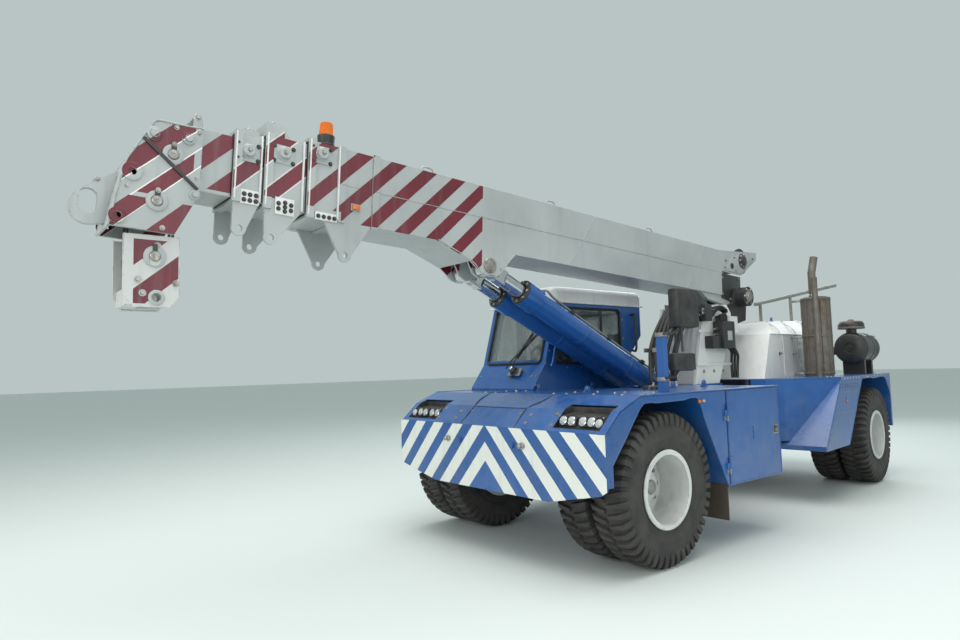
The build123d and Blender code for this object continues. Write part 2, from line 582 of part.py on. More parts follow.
GLASS = 6.0
pane_cut = (on_screen(0.07, -12), on_screen(0.92, -12), on_screen(0.92, -12 - GLASS),
            on_screen(0.07, -12 - GLASS))
with BuildPart() as cab_glass:
    add(plate(pane_cut, at_y(SCREEN_Y[1]), SCREEN_Y[1] - SCREEN_Y[0]))
    add(plate(near_window, at_y(CAB_NEAR - 12), GLASS))
    add(plate(far_window, at_y(CAB_FAR + 12 + GLASS), GLASS))
    add(rear_window(CAB_REAR + 12, CAB_REAR + 12 + GLASS))

ROOF_X, ROOF_Y = (-1800.0, -430.0), (CAB_FAR - 17, CAB_NEAR + 15)
with BuildPart() as cab_roof:
    add(block((ROOF_X[0], ROOF_Y[0], CAB_EAVES), (ROOF_X[1], ROOF_Y[1], CAB_TOP)))
    fillet(cab_roof.edges().filter_by(Axis.Z), 70)
    fillet(cab_roof.faces().sort_by(Axis.Z)[-1].edges(), 60)
    add(block((ROOF_X[0] + 90, ROOF_Y[0] + 90, CAB_EAVES - 1),
              (ROOF_X[1] - 90, ROOF_Y[1] - 90, CAB_TOP - 30)), mode=Mode.SUBTRACT)

door_low = (DOOR_X[0] + CLEAR, CAB_FAR, DOOR_Z[0] + CLEAR)
door_high = (DOOR_X[1] - CLEAR, CAB_FAR + CAB_WALL, DOOR_Z[1] - CLEAR)
door_window = (block((DOOR_X[0] + 60, CAB_FAR - 5, 1420), (DOOR_X[1] - 60, CAB_FAR + 40, HEADER - 50)))
with BuildPart() as cab_door:
    add(block(door_low, door_high))
    add(door_window, mode=Mode.SUBTRACT)
with BuildPart() as cab_door_glass:
    add(block((DOOR_X[0] + 60, CAB_FAR + 12, 1420), (DOOR_X[1] - 60, CAB_FAR + 12 + GLASS, HEADER - 50)))
CAB_DOOR_AXIS = (DOOR_X[1] - 2.0, CAB_FAR - KNUCKLE_R - 1)
for z in (960, 1240, 1760):
    fixed, moving = hinge_z(*CAB_DOOR_AXIS, z, (CAB_DOOR_AXIS[0] + 34, CAB_FAR),
                            (CAB_DOOR_AXIS[0] - 45, CAB_FAR))
    with cab_shell:
        add(fixed)
    with cab_door:
        add(moving)

SEAT_Y = (CAB_NEAR + CAB_FAR) / 2
SEAT_PAN_Z = 1100.0
FLOOR_TOP = CAB_FLOOR + CAB_WALL
with BuildPart() as driver_seat:
    add(block((-1430, SEAT_Y - 180, FLOOR_TOP), (-1130, SEAT_Y + 180, SEAT_PAN_Z - 90)))
    add(plate(((-1000, SEAT_PAN_Z), (-1000, SEAT_PAN_Z - 90), (-1430, SEAT_PAN_Z - 90),
               (-1452, SEAT_PAN_Z - 60), (-1452, SEAT_PAN_Z)), at_y(SEAT_Y + 245), 490))
    add(plate(((-1430, SEAT_PAN_Z - 20), (-1455, 1700), (-1365, 1700), (-1330, SEAT_PAN_Z - 20)),
              at_y(SEAT_Y + 230), 460))
WHEEL_R = 200.0
COLUMN = (Vector(-530, SEAT_Y, 1300), Vector(-800, SEAT_Y, 1520))
column_way = (COLUMN[1] - COLUMN[0]).normalized()
with BuildPart() as cab_controls:
    add(block((-560, CAB_FAR + CAB_WALL + 20, 1252), (-330, CAB_NEAR - CAB_WALL - 20, 1440)))
    with BuildSketch(Plane(origin=COLUMN[0], z_dir=column_way)):
        Circle(32)
    extrude(amount=(COLUMN[1] - COLUMN[0]).length)
    with BuildSketch(Plane(origin=COLUMN[1] - column_way * 12, z_dir=column_way)):
        Rectangle(2 * WHEEL_R, 34)
        Rectangle(34, 2 * WHEEL_R)
    extrude(amount=14)
    with BuildSketch(Plane(origin=COLUMN[1] - column_way * 20, z_dir=column_way)):
        Circle(WHEEL_R + 14)
        Circle(WHEEL_R - 14, mode=Mode.SUBTRACT)
    extrude(amount=28)

# ------------------------------------------------------------------ boom
SECTION_RING = 14.0
COLLAR = 50.0
PAD_LENGTH = 120.0


def section_size(index):
    """Half width, bottom and top of a boom section, 0 for the base."""
    bottom = index * (SECTION_WALL + SECTION_GAP)
    return BOOM_HALF - index * SECTION_SIDE_STEP, bottom, BOOM_DEPTH - index * SECTION_TOP_STEP


def box_ring(u_low, u_high, index, proud, wall):
    """A square tube along the boom around a section's outside, standing proud of it."""
    half, bottom, top = section_size(index)
    with BuildPart() as ring:
        with BuildSketch(boom_cross(u_low)):
            with Locations((0, (bottom + top) / 2)):
                Rectangle(2 * (half + proud), top - bottom + 2 * proud)
                Rectangle(2 * (half + proud - wall), top - bottom + 2 * (proud - wall), mode=Mode.SUBTRACT)
        extrude(amount=u_high - u_low)
    return ring.part


def cross_block(u_low, u_high, y_low, y_high, w_low, w_high):
    """A block in the boom's own directions."""
    with BuildPart() as made:
        with BuildSketch(boom_cross(u_low)):
            with Locations(((y_low + y_high) / 2, (w_low + w_high) / 2)):
                Rectangle(y_high - y_low, w_high - w_low)
        extrude(amount=u_high - u_low)
    return made.part


def tube_plates(u_low, u_high, index):
    """The four plates of a section's long tube, which meet edge to edge."""
    half, bottom, top = section_size(index)
    inner = half - SECTION_WALL
    return both_sides(cross_block(u_low, u_high, inner, half, bottom, top)) + [
        cross_block(u_low, u_high, -inner, inner, bottom, bottom + SECTION_WALL),
        cross_block(u_low, u_high, -inner, inner, top - SECTION_WALL, top)]


def welded(*made):
    """One piece of several plates and castings that meet face to face."""
    return Compound([solid for part in made for solid in part.solids()])


def wear_pads(u_high, index):
    """The four pads inside a section's mouth, which the next section slides on."""
    half, bottom, top = section_size(index)
    next_half, next_bottom, next_top = section_size(index + 1)
    low = u_high - PAD_LENGTH
    inner = half - SECTION_WALL
    wide = next_half - 40
    side_pad = cross_block(low, u_high, next_half + RUN_GAP, inner, bottom + 60, top - 60)
    return both_sides(side_pad) + [
        cross_block(low, u_high, -wide, wide, bottom + SECTION_WALL, next_bottom - RUN_GAP),
        cross_block(low, u_high, -wide, wide, next_top + RUN_GAP, top - SECTION_WALL)]


def lug_pair(index, root_low, root_high, tip_u, tip_w, hole_r):
    """Two drilled lugs below a section's sides."""
    half, bottom, _ = section_size(index)
    tip_r = hole_r + 26.0
    thick = 20.0
    with BuildPart() as lug:
        with BuildSketch(boom_side(half)):
            with BuildLine():
                Polyline((root_low, bottom + 10), (root_high, bottom + 10), (tip_u + tip_r * 0.95, tip_w),
                         (tip_u, tip_w - tip_r * 0.3), (tip_u - tip_r * 0.95, tip_w), close=True)
            make_face()
            with Locations((tip_u, tip_w)):
                Circle(tip_r)
                Circle(hole_r, mode=Mode.SUBTRACT)
        extrude(amount=thick)
    return both_sides(lug.part)


LUG_HOLE_R = 20.0
# section: (index, rear u, front u, lug root low, lug root high, lug tip u, lug tip w)
SECTIONS = ((0, BASE_REAR, BASE_FRONT, 4740, 5110, 4935, -225),
            (1, 700, 5495, 5235, 5485, 5434, -180),
            (2, 850, 5680, 5505, 5672, 5626, -150))
TELESCOPE = 3500.0
RIBS = ((4690, 4745), (4950, 5000))
TAIL_END = 760.0
MOUTH_LOW = (RIBS[0][0], SECTIONS[1][3], SECTIONS[2][3])
mouths = []
tubes = []
for index, rear, front, root_low, root_high, tip_u, tip_w in SECTIONS:
    mouth_low = MOUTH_LOW[index]
    with BuildPart() as mouth:
        add(box_ring(mouth_low, front, index, 0, SECTION_WALL))
        add(box_ring(front - COLLAR, front, index, SECTION_RING, SECTION_RING + 1))
        add(wear_pads(front, index))
        add(lug_pair(index, root_low, root_high, tip_u, tip_w, LUG_HOLE_R))
    mouths.append(mouth)
    tubes.append(tube_plates(max(rear, TAIL_END) if index == 0 else rear, mouth_low, index))

TAIL_Y = (BOOM_HALF - 14, BOOM_HALF)
LUG_Y = (140.0, 190.0)
tail_outline = ((BASE_REAR + 40, 270), (-100, 270), (-460, 500), (-460, 585), (BASE_REAR + 40, BOOM_DEPTH))
heel_outline = ((720, 4), (560, -70), (130, -115), (-60, -100), (-110, 0), (-80, 120), (BASE_REAR + 20, 300),
                (BASE_REAR + 20, 4))
BELLY_PLATE = 14.0
belly_outline = ((3400, 4), (3600, -195), (3745, -205), (3870, -113), (4200, 4))
belly_closing = ((3870, -113), (4200, 0))
inner_lug = ((3500, 4), (3600, -180), (3690, -215), (3760, -180), (3860, 4))
DRUM = (-130.0, 440.0)
DRUM_PIN_R = 30.0
with mouths[0]:
    for low, high in RIBS:
        add(box_ring(low, high, 0, 10, 11))
with BuildPart() as base_belly:
    add(both_sides(plate(belly_outline, boom_side(BOOM_HALF), BELLY_PLATE)))
    add(plate(folded(belly_closing, 10.0), boom_side(BOOM_HALF - 2), 2 * BOOM_HALF - 4))
    add(both_sides(plate(inner_lug, boom_side(RAM_Y - RAM_EYE_HALF - CLEAR), 16)))
    add(cross_block(3300, 4300, -BOOM_HALF - 10, BOOM_HALF + 10, 0, 60), mode=Mode.SUBTRACT)
with BuildPart() as base_tail:
    add(box_ring(BASE_REAR, TAIL_END, 0, 0, SECTION_WALL))
    add(cross_block(BASE_REAR, BASE_REAR + 12, -BOOM_HALF + 3, BOOM_HALF - 3, 3, BOOM_DEPTH - 3))
    add(both_sides(plate(tail_outline, boom_side(TAIL_Y[1]), TAIL_Y[1] - TAIL_Y[0])))
    heel = plate(heel_outline, boom_side(LUG_Y[1]), LUG_Y[1] - LUG_Y[0])
    add(both_sides(heel))
    add(pin_y(*BOOM_PIN, BOOM_PIN_R + 0.08, -300, 300), mode=Mode.SUBTRACT)
    with BuildSketch(boom_side(TAIL_Y[0] + 4)):
        with Locations(DRUM):
            Circle(DRUM_PIN_R)
    extrude(amount=2 * TAIL_Y[0] + 8)
boom_base = welded(base_tail.part, base_belly.part, *tubes[0])
DRUM_LENGTH = 2 * (TAIL_Y[0] - CLEAR)
with BuildPart() as winch_drum:
    with BuildSketch(boom_side(TAIL_Y[0] - CLEAR)):
        with Locations(DRUM):
            Circle(110)
    extrude(amount=DRUM_LENGTH)
    for start in (TAIL_Y[0] - CLEAR, -TAIL_Y[0] + CLEAR + 14):
        with BuildSketch(boom_side(start)):
            with Locations(DRUM):
                Circle(150)
        extrude(amount=14)
    with BuildSketch(boom_side(TAIL_Y[0])):
        with Locations(DRUM):
            Circle(DRUM_PIN_R + RUN_GAP)
    extrude(amount=2 * TAIL_Y[0], mode=Mode.SUBTRACT)

# ------------------------------------------------------------------ boom sections 2 and 3, boom head
with mouths[1]:
    add(cross_block(5355, 5475, -140, 140, section_size(1)[2], section_size(1)[2] + 102))
with mouths[2]:
    add(cross_block(5520, 5620, -140, 140, section_size(2)[2], section_size(2)[2] + 48))
boom_section_2 = welded(*tubes[1])
boom_section_3 = welded(*tubes[2])

HEAD_REAR = 1000.0
HEAD_ROOT = 5865.0
CHEEK = 26.0
NOSE = ((6317, -250), (6287, -57), (6255, 118), (6181, 272), (6114, 383), (HEAD_ROOT, 400))
cheek_outline = NOSE + ((HEAD_ROOT, 20), (5896, -64), (5985, -252))
head_half = section_size(3)[0]
LOWER_SHEAVE, UPPER_SHEAVE = (6088.0, -78.0), (6020.0, 205.0)
HEAD_PIN_R = 30.0
FRONT_PINS = ((6203, 63), (6260, -185))
RING_HALF = 20.0
RING_HOLE = (6398, -99)
with BuildPart() as ring_plate:
    with BuildSketch(boom_side(RING_HALF)):
        with BuildLine():
            Polyline((6246, 105), (6354, 36), (6445, -50), (6445, -130), (6400, -226), (6305, -214),
                     (6272, -57), close=True)
        make_face()
        with Locations((6395, -133)):
            Circle(95)
        with Locations((RING_HOLE[0], RING_HOLE[1] - 27), (RING_HOLE[0], RING_HOLE[1] + 27)):
            Circle(45, mode=Mode.SUBTRACT)
        with Locations(RING_HOLE):
            Rectangle(90, 54, mode=Mode.SUBTRACT)
    extrude(amount=2 * RING_HALF)
with BuildPart() as boom_nose:
    add(box_ring(HEAD_ROOT, HEAD_ROOT + 70, 3, 0, SECTION_WALL))
    add(both_sides(plate(cheek_outline, boom_side(head_half + CHEEK), CHEEK)))
    add(plate(folded(NOSE, 12.0), boom_side(head_half), 2 * head_half))
    add(cross_block(HEAD_ROOT - 20, HEAD_ROOT, -head_half, head_half, 0, section_size(3)[2] + 20),
        mode=Mode.SUBTRACT)
    add(ring_plate.part)
    for centre, proud in ((LOWER_SHEAVE, 12), (UPPER_SHEAVE, 0)):
        with BuildSketch(boom_side(head_half + CHEEK + proud)):
            with Locations(centre):
                Circle(HEAD_PIN_R)
        extrude(amount=2 * (head_half + CHEEK + proud))
    with BuildSketch(boom_side(head_half + CHEEK + 1)):
        with Locations(*FRONT_PINS):
            Circle(LUG_HOLE_R)
    extrude(amount=2 * (head_half + CHEEK + 1), mode=Mode.SUBTRACT)
boom_head = welded(*tube_plates(HEAD_REAR, HEAD_ROOT, 3))

ROPE_R = 8.0
ROPE_ORBIT = 120.0                       # rope centre round a sheave
SHEAVE_R = 130.0
SHEAVE_HALF = 18.0
SHEAVE_Y = (-40.0, 40.0)
groove_r = ROPE_ORBIT - ROPE_R - RUN_GAP


def sheave(centre, y):
    """A rope sheave with its groove, turning on a pin along Y."""
    with BuildPart() as wheel:
        with BuildSketch(Plane(origin=(centre[0], y, centre[1]), x_dir=(1, 0, 0), z_dir=(0, 0, 1))):
            with BuildLine():
                Polyline((HEAD_PIN_R + RUN_GAP, -SHEAVE_HALF), (SHEAVE_R, -SHEAVE_HALF), (SHEAVE_R, -12),
                         (groove_r, -ROPE_R - 1), (groove_r, ROPE_R + 1), (SHEAVE_R, 12),
                         (SHEAVE_R, SHEAVE_HALF), (HEAD_PIN_R + RUN_GAP, SHEAVE_HALF), close=True)
            make_face()
        revolve(axis=Axis((centre[0], y, centre[1]), (0, 1, 0)), revolution_arc=360)
    return wheel.part


def at_head(u, w):
    """x and z of a boom point."""
    x, _, z = boom_point(u, w)
    return x, z


with BuildPart() as head_sheaves:
    add([sheave(at_head(*centre), y) for centre in (LOWER_SHEAVE, UPPER_SHEAVE) for y in SHEAVE_Y])

# ------------------------------------------------------------------ hook block, hanging plumb
HANG_X, HANG_Z = at_head(*LOWER_SHEAVE)
BLOCK_HALF = 150.0
BLOCK_CHEEK = 22.0
BLOCK_SHEAVE_Z = 2120.0
BLOCK_TOP, BLOCK_LOW = 2262.0, 1858.0
block_outline = ((HANG_X + 157, BLOCK_TOP), (HANG_X - 131, BLOCK_TOP), (HANG_X - 131, BLOCK_LOW + 62),
                 (HANG_X - 83, BLOCK_LOW), (HANG_X + 107, BLOCK_LOW), (HANG_X + 157, BLOCK_LOW + 67))
HOOK_BORE = (HANG_X - 10.0, 1912.0, 24.0)       # x, z, radius
block_cheek = plate(block_outline, at_y(BLOCK_HALF), BLOCK_CHEEK)
with BuildPart() as hook_block:
    add(both_sides(block_cheek))
    add(block((HANG_X - 75, -BLOCK_HALF + 1, BLOCK_LOW + 10),
              (HANG_X + 140, BLOCK_HALF - 1, BLOCK_LOW + 105)))
    add(pin_y(HANG_X, BLOCK_SHEAVE_Z, HEAD_PIN_R, -BLOCK_HALF - 10, BLOCK_HALF + 10))
    add(block((HANG_X - 125, -62, BLOCK_LOW), (HANG_X + 60, 62, 1950)), mode=Mode.SUBTRACT)
    add(pin_y(*HOOK_BORE, -BLOCK_HALF - 1, BLOCK_HALF + 1), mode=Mode.SUBTRACT)
with BuildPart() as hook_sheaves:
    add([sheave((HANG_X, BLOCK_SHEAVE_Z), y) for y in SHEAVE_Y])
with BuildPart() as rope_falls:
    for y in SHEAVE_Y:
        for x in (HANG_X - ROPE_ORBIT, HANG_X + ROPE_ORBIT):
            add(pin_z(x, y, ROPE_R, BLOCK_SHEAVE_Z, HANG_Z))

# ------------------------------------------------------------------ beacon behind the boom's first collar
BEACON_U, BEACON_Y, BEACON_R = 5075.0, 150.0, 55.0
BEACON_FOOT = 70.0
beacon_foot = section_size(0)[2]
with BuildPart() as beacon:
    with BuildSketch(Plane(origin=boom_point(BEACON_U, beacon_foot, BEACON_Y), z_dir=BOOM_UP)):
        Circle(BEACON_R)
    extrude(amount=BEACON_FOOT)
    with BuildSketch(Plane(origin=boom_point(BEACON_U, beacon_foot + BEACON_FOOT, BEACON_Y), z_dir=BOOM_UP)):
        Circle(BEACON_R - 8)
    extrude(amount=95, taper=5)

# ------------------------------------------------------------------ twin lift rams
eye_x, eye_z = at_head(RAM_EYE_U, RAM_EYE_W)
ram_run = (eye_x - RAM_FOOT[0], eye_z - RAM_FOOT[1])
ram_length = hypot(*ram_run)
ram_dir = (ram_run[0] / ram_length, 0, ram_run[1] / ram_length)
RAM_BORE = 78.0
GLAND = 110.0
PISTON = 80.0
ROD_LENGTH = 2270.0
ROD_NECK = 200.0                        # flat neck before the rod's eye
BARREL_START = 112.0                    # the barrel's closed end, from the lower pin
EYE_R = 78.0


def ram_plane(distance, y):
    """Cross plane of a ram, at a distance from its lower pin."""
    origin = (RAM_FOOT[0] + distance * ram_dir[0], y, RAM_FOOT[1] + distance * ram_dir[2])
    return Plane(origin=origin, x_dir=(0, 1, 0), z_dir=ram_dir)


with BuildPart() as lift_barrels:
    for y in (RAM_Y, -RAM_Y):
        with BuildSketch(ram_plane(BARREL_START, y)):
            Circle(RAM_BARREL_R)
        extrude(amount=RAM_BARREL_END - BARREL_START)
        with BuildSketch(ram_plane(0, y)):
            Rectangle(2 * RAM_EYE_HALF, 1.8 * RAM_LUG_R)
        extrude(amount=BARREL_START + 5)
        with BuildSketch(ram_plane(RAM_BARREL_END - 150, y)):
            Circle(RAM_BARREL_R + 14)
        extrude(amount=150)
        add(pin_y(*RAM_FOOT, RAM_LUG_R, y - RAM_EYE_HALF, y + RAM_EYE_HALF))
        with BuildSketch(ram_plane(BARREL_START + 40, y)):
            Circle(RAM_BORE)
        extrude(amount=RAM_BARREL_END - GLAND - BARREL_START - 40, mode=Mode.SUBTRACT)
        with BuildSketch(ram_plane(RAM_BARREL_END - GLAND - 1, y)):
            Circle(RAM_ROD_R + RUN_GAP)
        extrude(amount=GLAND + 2, mode=Mode.SUBTRACT)
    add(pin_y(*RAM_FOOT, RAM_FOOT_PIN_R + 0.08, -300, 300), mode=Mode.SUBTRACT)
with BuildPart() as lift_rods:
    for y in (RAM_Y, -RAM_Y):
        with BuildSketch(ram_plane(ram_length - ROD_LENGTH, y)):
            Circle(RAM_ROD_R)
        extrude(amount=ROD_LENGTH - ROD_NECK)
        with BuildSketch(ram_plane(ram_length - ROD_NECK - 10, y)):
            Rectangle(2 * RAM_EYE_HALF, 1.9 * RAM_ROD_R)
        extrude(amount=ROD_NECK)
        with BuildSketch(ram_plane(ram_length - ROD_LENGTH, y)):
            Circle(RAM_BORE - RUN_GAP)
        extrude(amount=PISTON)
        add(pin_y(eye_x, eye_z, EYE_R, y - RAM_EYE_HALF, y + RAM_EYE_HALF))

# ------------------------------------------------------------------ rear frame
REAR_DECK_UNDER = 1272.0
KNUCKLE = (RAIL_LOW + RUN_GAP, YOKE_TOP[0] - RUN_GAP)
REAR_END = REAR_AXLE_X - 640.0
REAR_RAIL_X = (REAR_END, -2300.0)
CROSS_BEAM = (-2420.0, -2300.0)
KNUCKLE_ROUND = 150.0
rear_rails = both_sides(block((REAR_RAIL_X[0], RAIL_IN, RAIL_LOW), (REAR_RAIL_X[1], RAIL_OUT, RAIL_TOP - 40)))
rear_beams = [block((CROSS_BEAM[0], -400, RAIL_LOW), (CROSS_BEAM[1], 400, 1110)),
              block((REAR_END, -RAIL_IN, RAIL_LOW), (REAR_END + 80, RAIL_IN, RAIL_TOP - 40)),
              block((-3200, -RAIL_IN, RAIL_LOW), (-3100, RAIL_IN, 800))]
DECK_POSTS = (-2582.0, REAR_END + 50.0)
POST_Y_IN, POST_Y_OUT = 480.0, 520.0
with BuildPart() as rear_frame:
    add(rear_rails + rear_beams)
    with BuildSketch(at_z(KNUCKLE[0])):
        with Locations(((STEER_X + CROSS_BEAM[1]) / 2, 0)):
            Rectangle(STEER_X - CROSS_BEAM[1], 2 * KNUCKLE_ROUND)
        with Locations((STEER_X, 0)):
            Circle(KNUCKLE_ROUND)
        with Locations((STEER_X, 0)):
            Circle(STEER_PIN_R + 0.08, mode=Mode.SUBTRACT)
    extrude(amount=KNUCKLE[1] - KNUCKLE[0])
    for x in DECK_POSTS:
        add(both_sides(block((x - 30, RAIL_OUT - 5, RAIL_LOW + 60), (x + 30, POST_Y_OUT, RAIL_LOW + 120))))
        add(both_sides(block((x - 30, POST_Y_IN, RAIL_LOW + 60), (x + 30, POST_Y_OUT, REAR_DECK_UNDER))))

rear_axle = make_axle(REAR_AXLE_X, RAIL_LOW)

# ------------------------------------------------------------------ rear deck and sides
REAR_DECK_TOP = REAR_DECK_UNDER + 8.0
NOSE_X, NOSE_HALF = -2540.0, 700.0
FLANK = ((NOSE_X, NOSE_HALF), (-2600, 860), (-3170, BODY_HALF - PLATE))
HOOD_X = (-4780.0, -2720.0)
HOOD_HALF = 620.0
SIDE_BAND_TOP_X = -3190.0
half_deck = FLANK[:2] + ((-3170, BODY_HALF), (REAR_END, BODY_HALF))
deck_plan = list(half_deck) + [(x, -y) for x, y in reversed(half_deck)]
with BuildPart() as rear_deck:
    add(plate(deck_plan, at_z(REAR_DECK_UNDER), REAR_DECK_TOP - REAR_DECK_UNDER))
    add(block((HOOD_X[0] + 60, -HOOD_HALF + 60, 1200), (HOOD_X[1] - 60, HOOD_HALF - 60, 1300)),
        mode=Mode.SUBTRACT)

REAR_ARCH = [(REAR_AXLE_X + x, z)
             for x, z in ((1120, 552), (520, 1240), (-410, 1240), (-590, 1040), (-600, 620))]
band = ((SIDE_BAND_TOP_X, REAR_DECK_UNDER), (-2600, 600), (-2600, 552))
rear_skin_outline = list(band) + REAR_ARCH + [(REAR_END, 620), (REAR_END, REAR_DECK_UNDER)]
rear_skin = plate(rear_skin_outline, at_y(BODY_HALF), PLATE)
rear_liner = plate(folded(REAR_ARCH, -SHEET), at_y(BODY_HALF - PLATE), BODY_HALF - PLATE - LINER_IN)
FLANK_LOW = 640.0
flank_path = ((NOSE_X, NOSE_HALF - 160),) + FLANK[:2] + ((FLANK[2][0] - 8, FLANK[2][1] + 5),)
flank_sheet = plate(folded(flank_path, 8.0), at_z(FLANK_LOW), REAR_DECK_UNDER - FLANK_LOW)
band_front = plate(folded(band, -SHEET), at_y(BODY_HALF - PLATE), BODY_HALF - PLATE - 640)
with BuildPart() as rear_sides:
    add(both_sides(rear_skin) + both_sides(rear_liner) + both_sides(flank_sheet) + both_sides(band_front))

# ------------------------------------------------------------------ engine, hood and its side door
HOOD_SHEET = 6.0
hood_side = ((HOOD_X[1], REAR_DECK_TOP), (-2985, 1775), (-3300, 1930), (HOOD_X[0], 1990),
             (HOOD_X[0], REAR_DECK_TOP))
hood_front = ((HOOD_HALF, REAR_DECK_TOP), (HOOD_HALF - 20, 1775), (400, 1975), (400, 2050), (-400, 2050),
              (-400, 1975), (-HOOD_HALF + 20, 1775), (-HOOD_HALF, REAR_DECK_TOP))


def hood_solid(shrink):
    """The hood's outer shape, or the same shape one sheet smaller."""
    with BuildPart() as long_way:
        with BuildSketch(at_y(HOOD_HALF + 50)):
            with BuildLine():
                Polyline(*hood_side, close=True)
            make_face()
            if shrink:
                offset(amount=-shrink, kind=Kind.INTERSECTION, mode=Mode.REPLACE)
        extrude(amount=2 * HOOD_HALF + 100)
        with BuildSketch(at_x(HOOD_X[0] - 50)):
            with BuildLine():
                Polyline(*hood_front, close=True)
            make_face()
            if shrink:
                offset(amount=-shrink, kind=Kind.INTERSECTION, mode=Mode.REPLACE)
        extrude(amount=HOOD_X[1] - HOOD_X[0] + 100, mode=Mode.INTERSECT)
    return long_way.part


ENGINE_DOOR_X, ENGINE_DOOR_Z = (-4400.0, -3830.0), (1330.0, 1740.0)
hood_tilt = 20.0 / (1775 - REAR_DECK_TOP)            # how far the hood's side leans in for each mm up


def hood_y(z):
    """Outer y of the hood's left side at a height."""
    return HOOD_HALF - (z - REAR_DECK_TOP) * hood_tilt


def side_patch(x_low, x_high, z_low, z_high, proud, thickness):
    """A patch of the hood's leaning left side."""
    outline = ((hood_y(z_low) + proud, z_low), (hood_y(z_high) + proud, z_high),
               (hood_y(z_high) + proud - thickness, z_high), (hood_y(z_low) + proud - thickness, z_low))
    return plate(outline, at_x(x_low), x_high - x_low)


with BuildPart() as engine_hood:
    add(hood_solid(0))
    add(hood_solid(HOOD_SHEET), mode=Mode.SUBTRACT)
    add(block((HOOD_X[0] + 40, -HOOD_HALF + 40, REAR_DECK_TOP - 5),
              (HOOD_X[1] - 60, HOOD_HALF - 40, REAR_DECK_TOP + 10)), mode=Mode.SUBTRACT)
    add(side_patch(*ENGINE_DOOR_X, *ENGINE_DOOR_Z, 20, 60), mode=Mode.SUBTRACT)
with BuildPart() as engine_door:
    add(side_patch(ENGINE_DOOR_X[0] + CLEAR, ENGINE_DOOR_X[1] - CLEAR, ENGINE_DOOR_Z[0] + CLEAR,
                   ENGINE_DOOR_Z[1] - CLEAR, 0, HOOD_SHEET))
ENGINE_HINGE_Z = (1380.0, 1600.0)
ENGINE_AXIS = (ENGINE_DOOR_X[1] - 1.0, HOOD_HALF + KNUCKLE_R)
for z in ENGINE_HINGE_Z:
    face = hood_y(z + 2 * KNUCKLE_H) - 1
    fixed, moving = hinge_z(*ENGINE_AXIS, z, (ENGINE_AXIS[0] + 40, face), (ENGINE_AXIS[0] - 40, face))
    with engine_hood:
        add(fixed)
    with engine_door:
        add(moving)

ENGINE = ((-4280.0, -RAIL_OUT, RAIL_TOP - 40), (-2980.0, RAIL_OUT, 1620.0))
with BuildPart() as engine_block:
    add(block(*ENGINE))

# ------------------------------------------------------------------ muffler, stack and air cleaner
MUFFLER = (-3610.0, BODY_HALF - 345.0)
MUFFLER_R, MUFFLER_TOP = 150.0, 2190.0
STACK_R, STACK_TOP = 42.0, 2480.0
DRAIN_PIPE = (MUFFLER[0] + 180, MUFFLER[1] + 60)
with BuildPart() as muffler:
    add(pin_z(*MUFFLER, MUFFLER_R, REAR_DECK_TOP, MUFFLER_TOP))
    chamfer(muffler.edges().group_by(Axis.Z)[-1], 25)
    add(pin_z(MUFFLER[0] + 60, MUFFLER[1], STACK_R, MUFFLER_TOP - 30, STACK_TOP))
    with BuildSketch(Plane(origin=(MUFFLER[0] + 60, MUFFLER[1], STACK_TOP - 12), z_dir=(-0.28, 0.1, 1))):
        Circle(STACK_R)
    extrude(amount=190)
    with BuildSketch(Plane(origin=(MUFFLER[0] + 60, MUFFLER[1], STACK_TOP - 12), z_dir=(-0.28, 0.1, 1))):
        Circle(STACK_R - 4)
    extrude(amount=200, mode=Mode.SUBTRACT)
    add(pin_z(*DRAIN_PIPE, 32, REAR_DECK_TOP, 2400))
    add(block((MUFFLER[0] + 110, MUFFLER[1] + 30, 1500), (DRAIN_PIPE[0], DRAIN_PIPE[1], 1560)))

CLEANER_Y, CLEANER_Z, CLEANER_R = BODY_HALF - 235.0, 1600.0, 188.0
CLEANER_X = (-4930.0, -4400.0)
with BuildPart() as air_cleaner:
    with BuildSketch(at_x(CLEANER_X[0])):
        with Locations((CLEANER_Y, CLEANER_Z)):
            Circle(CLEANER_R)
    extrude(amount=CLEANER_X[1] - CLEANER_X[0])
    chamfer(air_cleaner.edges().group_by(Axis.X)[-1], 35)
    for x in (CLEANER_X[0] + 90, CLEANER_X[1] - 150):
        add(block((x, CLEANER_Y - 120, REAR_DECK_TOP), (x + 60, CLEANER_Y + 120, CLEANER_Z - 100)))
    add(pin_z(CLEANER_X[1] - 90, CLEANER_Y, 58, CLEANER_Z + 100, 1840))
    add(pin_z(CLEANER_X[1] - 90, CLEANER_Y, 145, 1835, 1915))
    fillet(air_cleaner.edges().filter_by(GeomType.CIRCLE).sort_by(Axis.Z)[-1], 30)

# ------------------------------------------------------------------ stowed pole on the hood
POLE = (Vector(-3717, 153, 2176), Vector(-5040, 690, 2450))
POLE_R = 22.0
pole_way = (POLE[1] - POLE[0]).normalized()
with BuildPart() as stowed_pole:
    with BuildSketch(Plane(origin=POLE[0], z_dir=pole_way)):
        Circle(POLE_R)
    extrude(amount=(POLE[1] - POLE[0]).length)
    for share in (0.06, 0.42):
        foot = POLE[0] + (POLE[1] - POLE[0]) * share
        add(block((foot.X - 20, foot.Y - 12, 1900), (foot.X + 20, foot.Y + 12, foot.Z)))
    add(hood_solid(0), mode=Mode.SUBTRACT)
    add(hood_solid(HOOD_SHEET), mode=Mode.SUBTRACT)

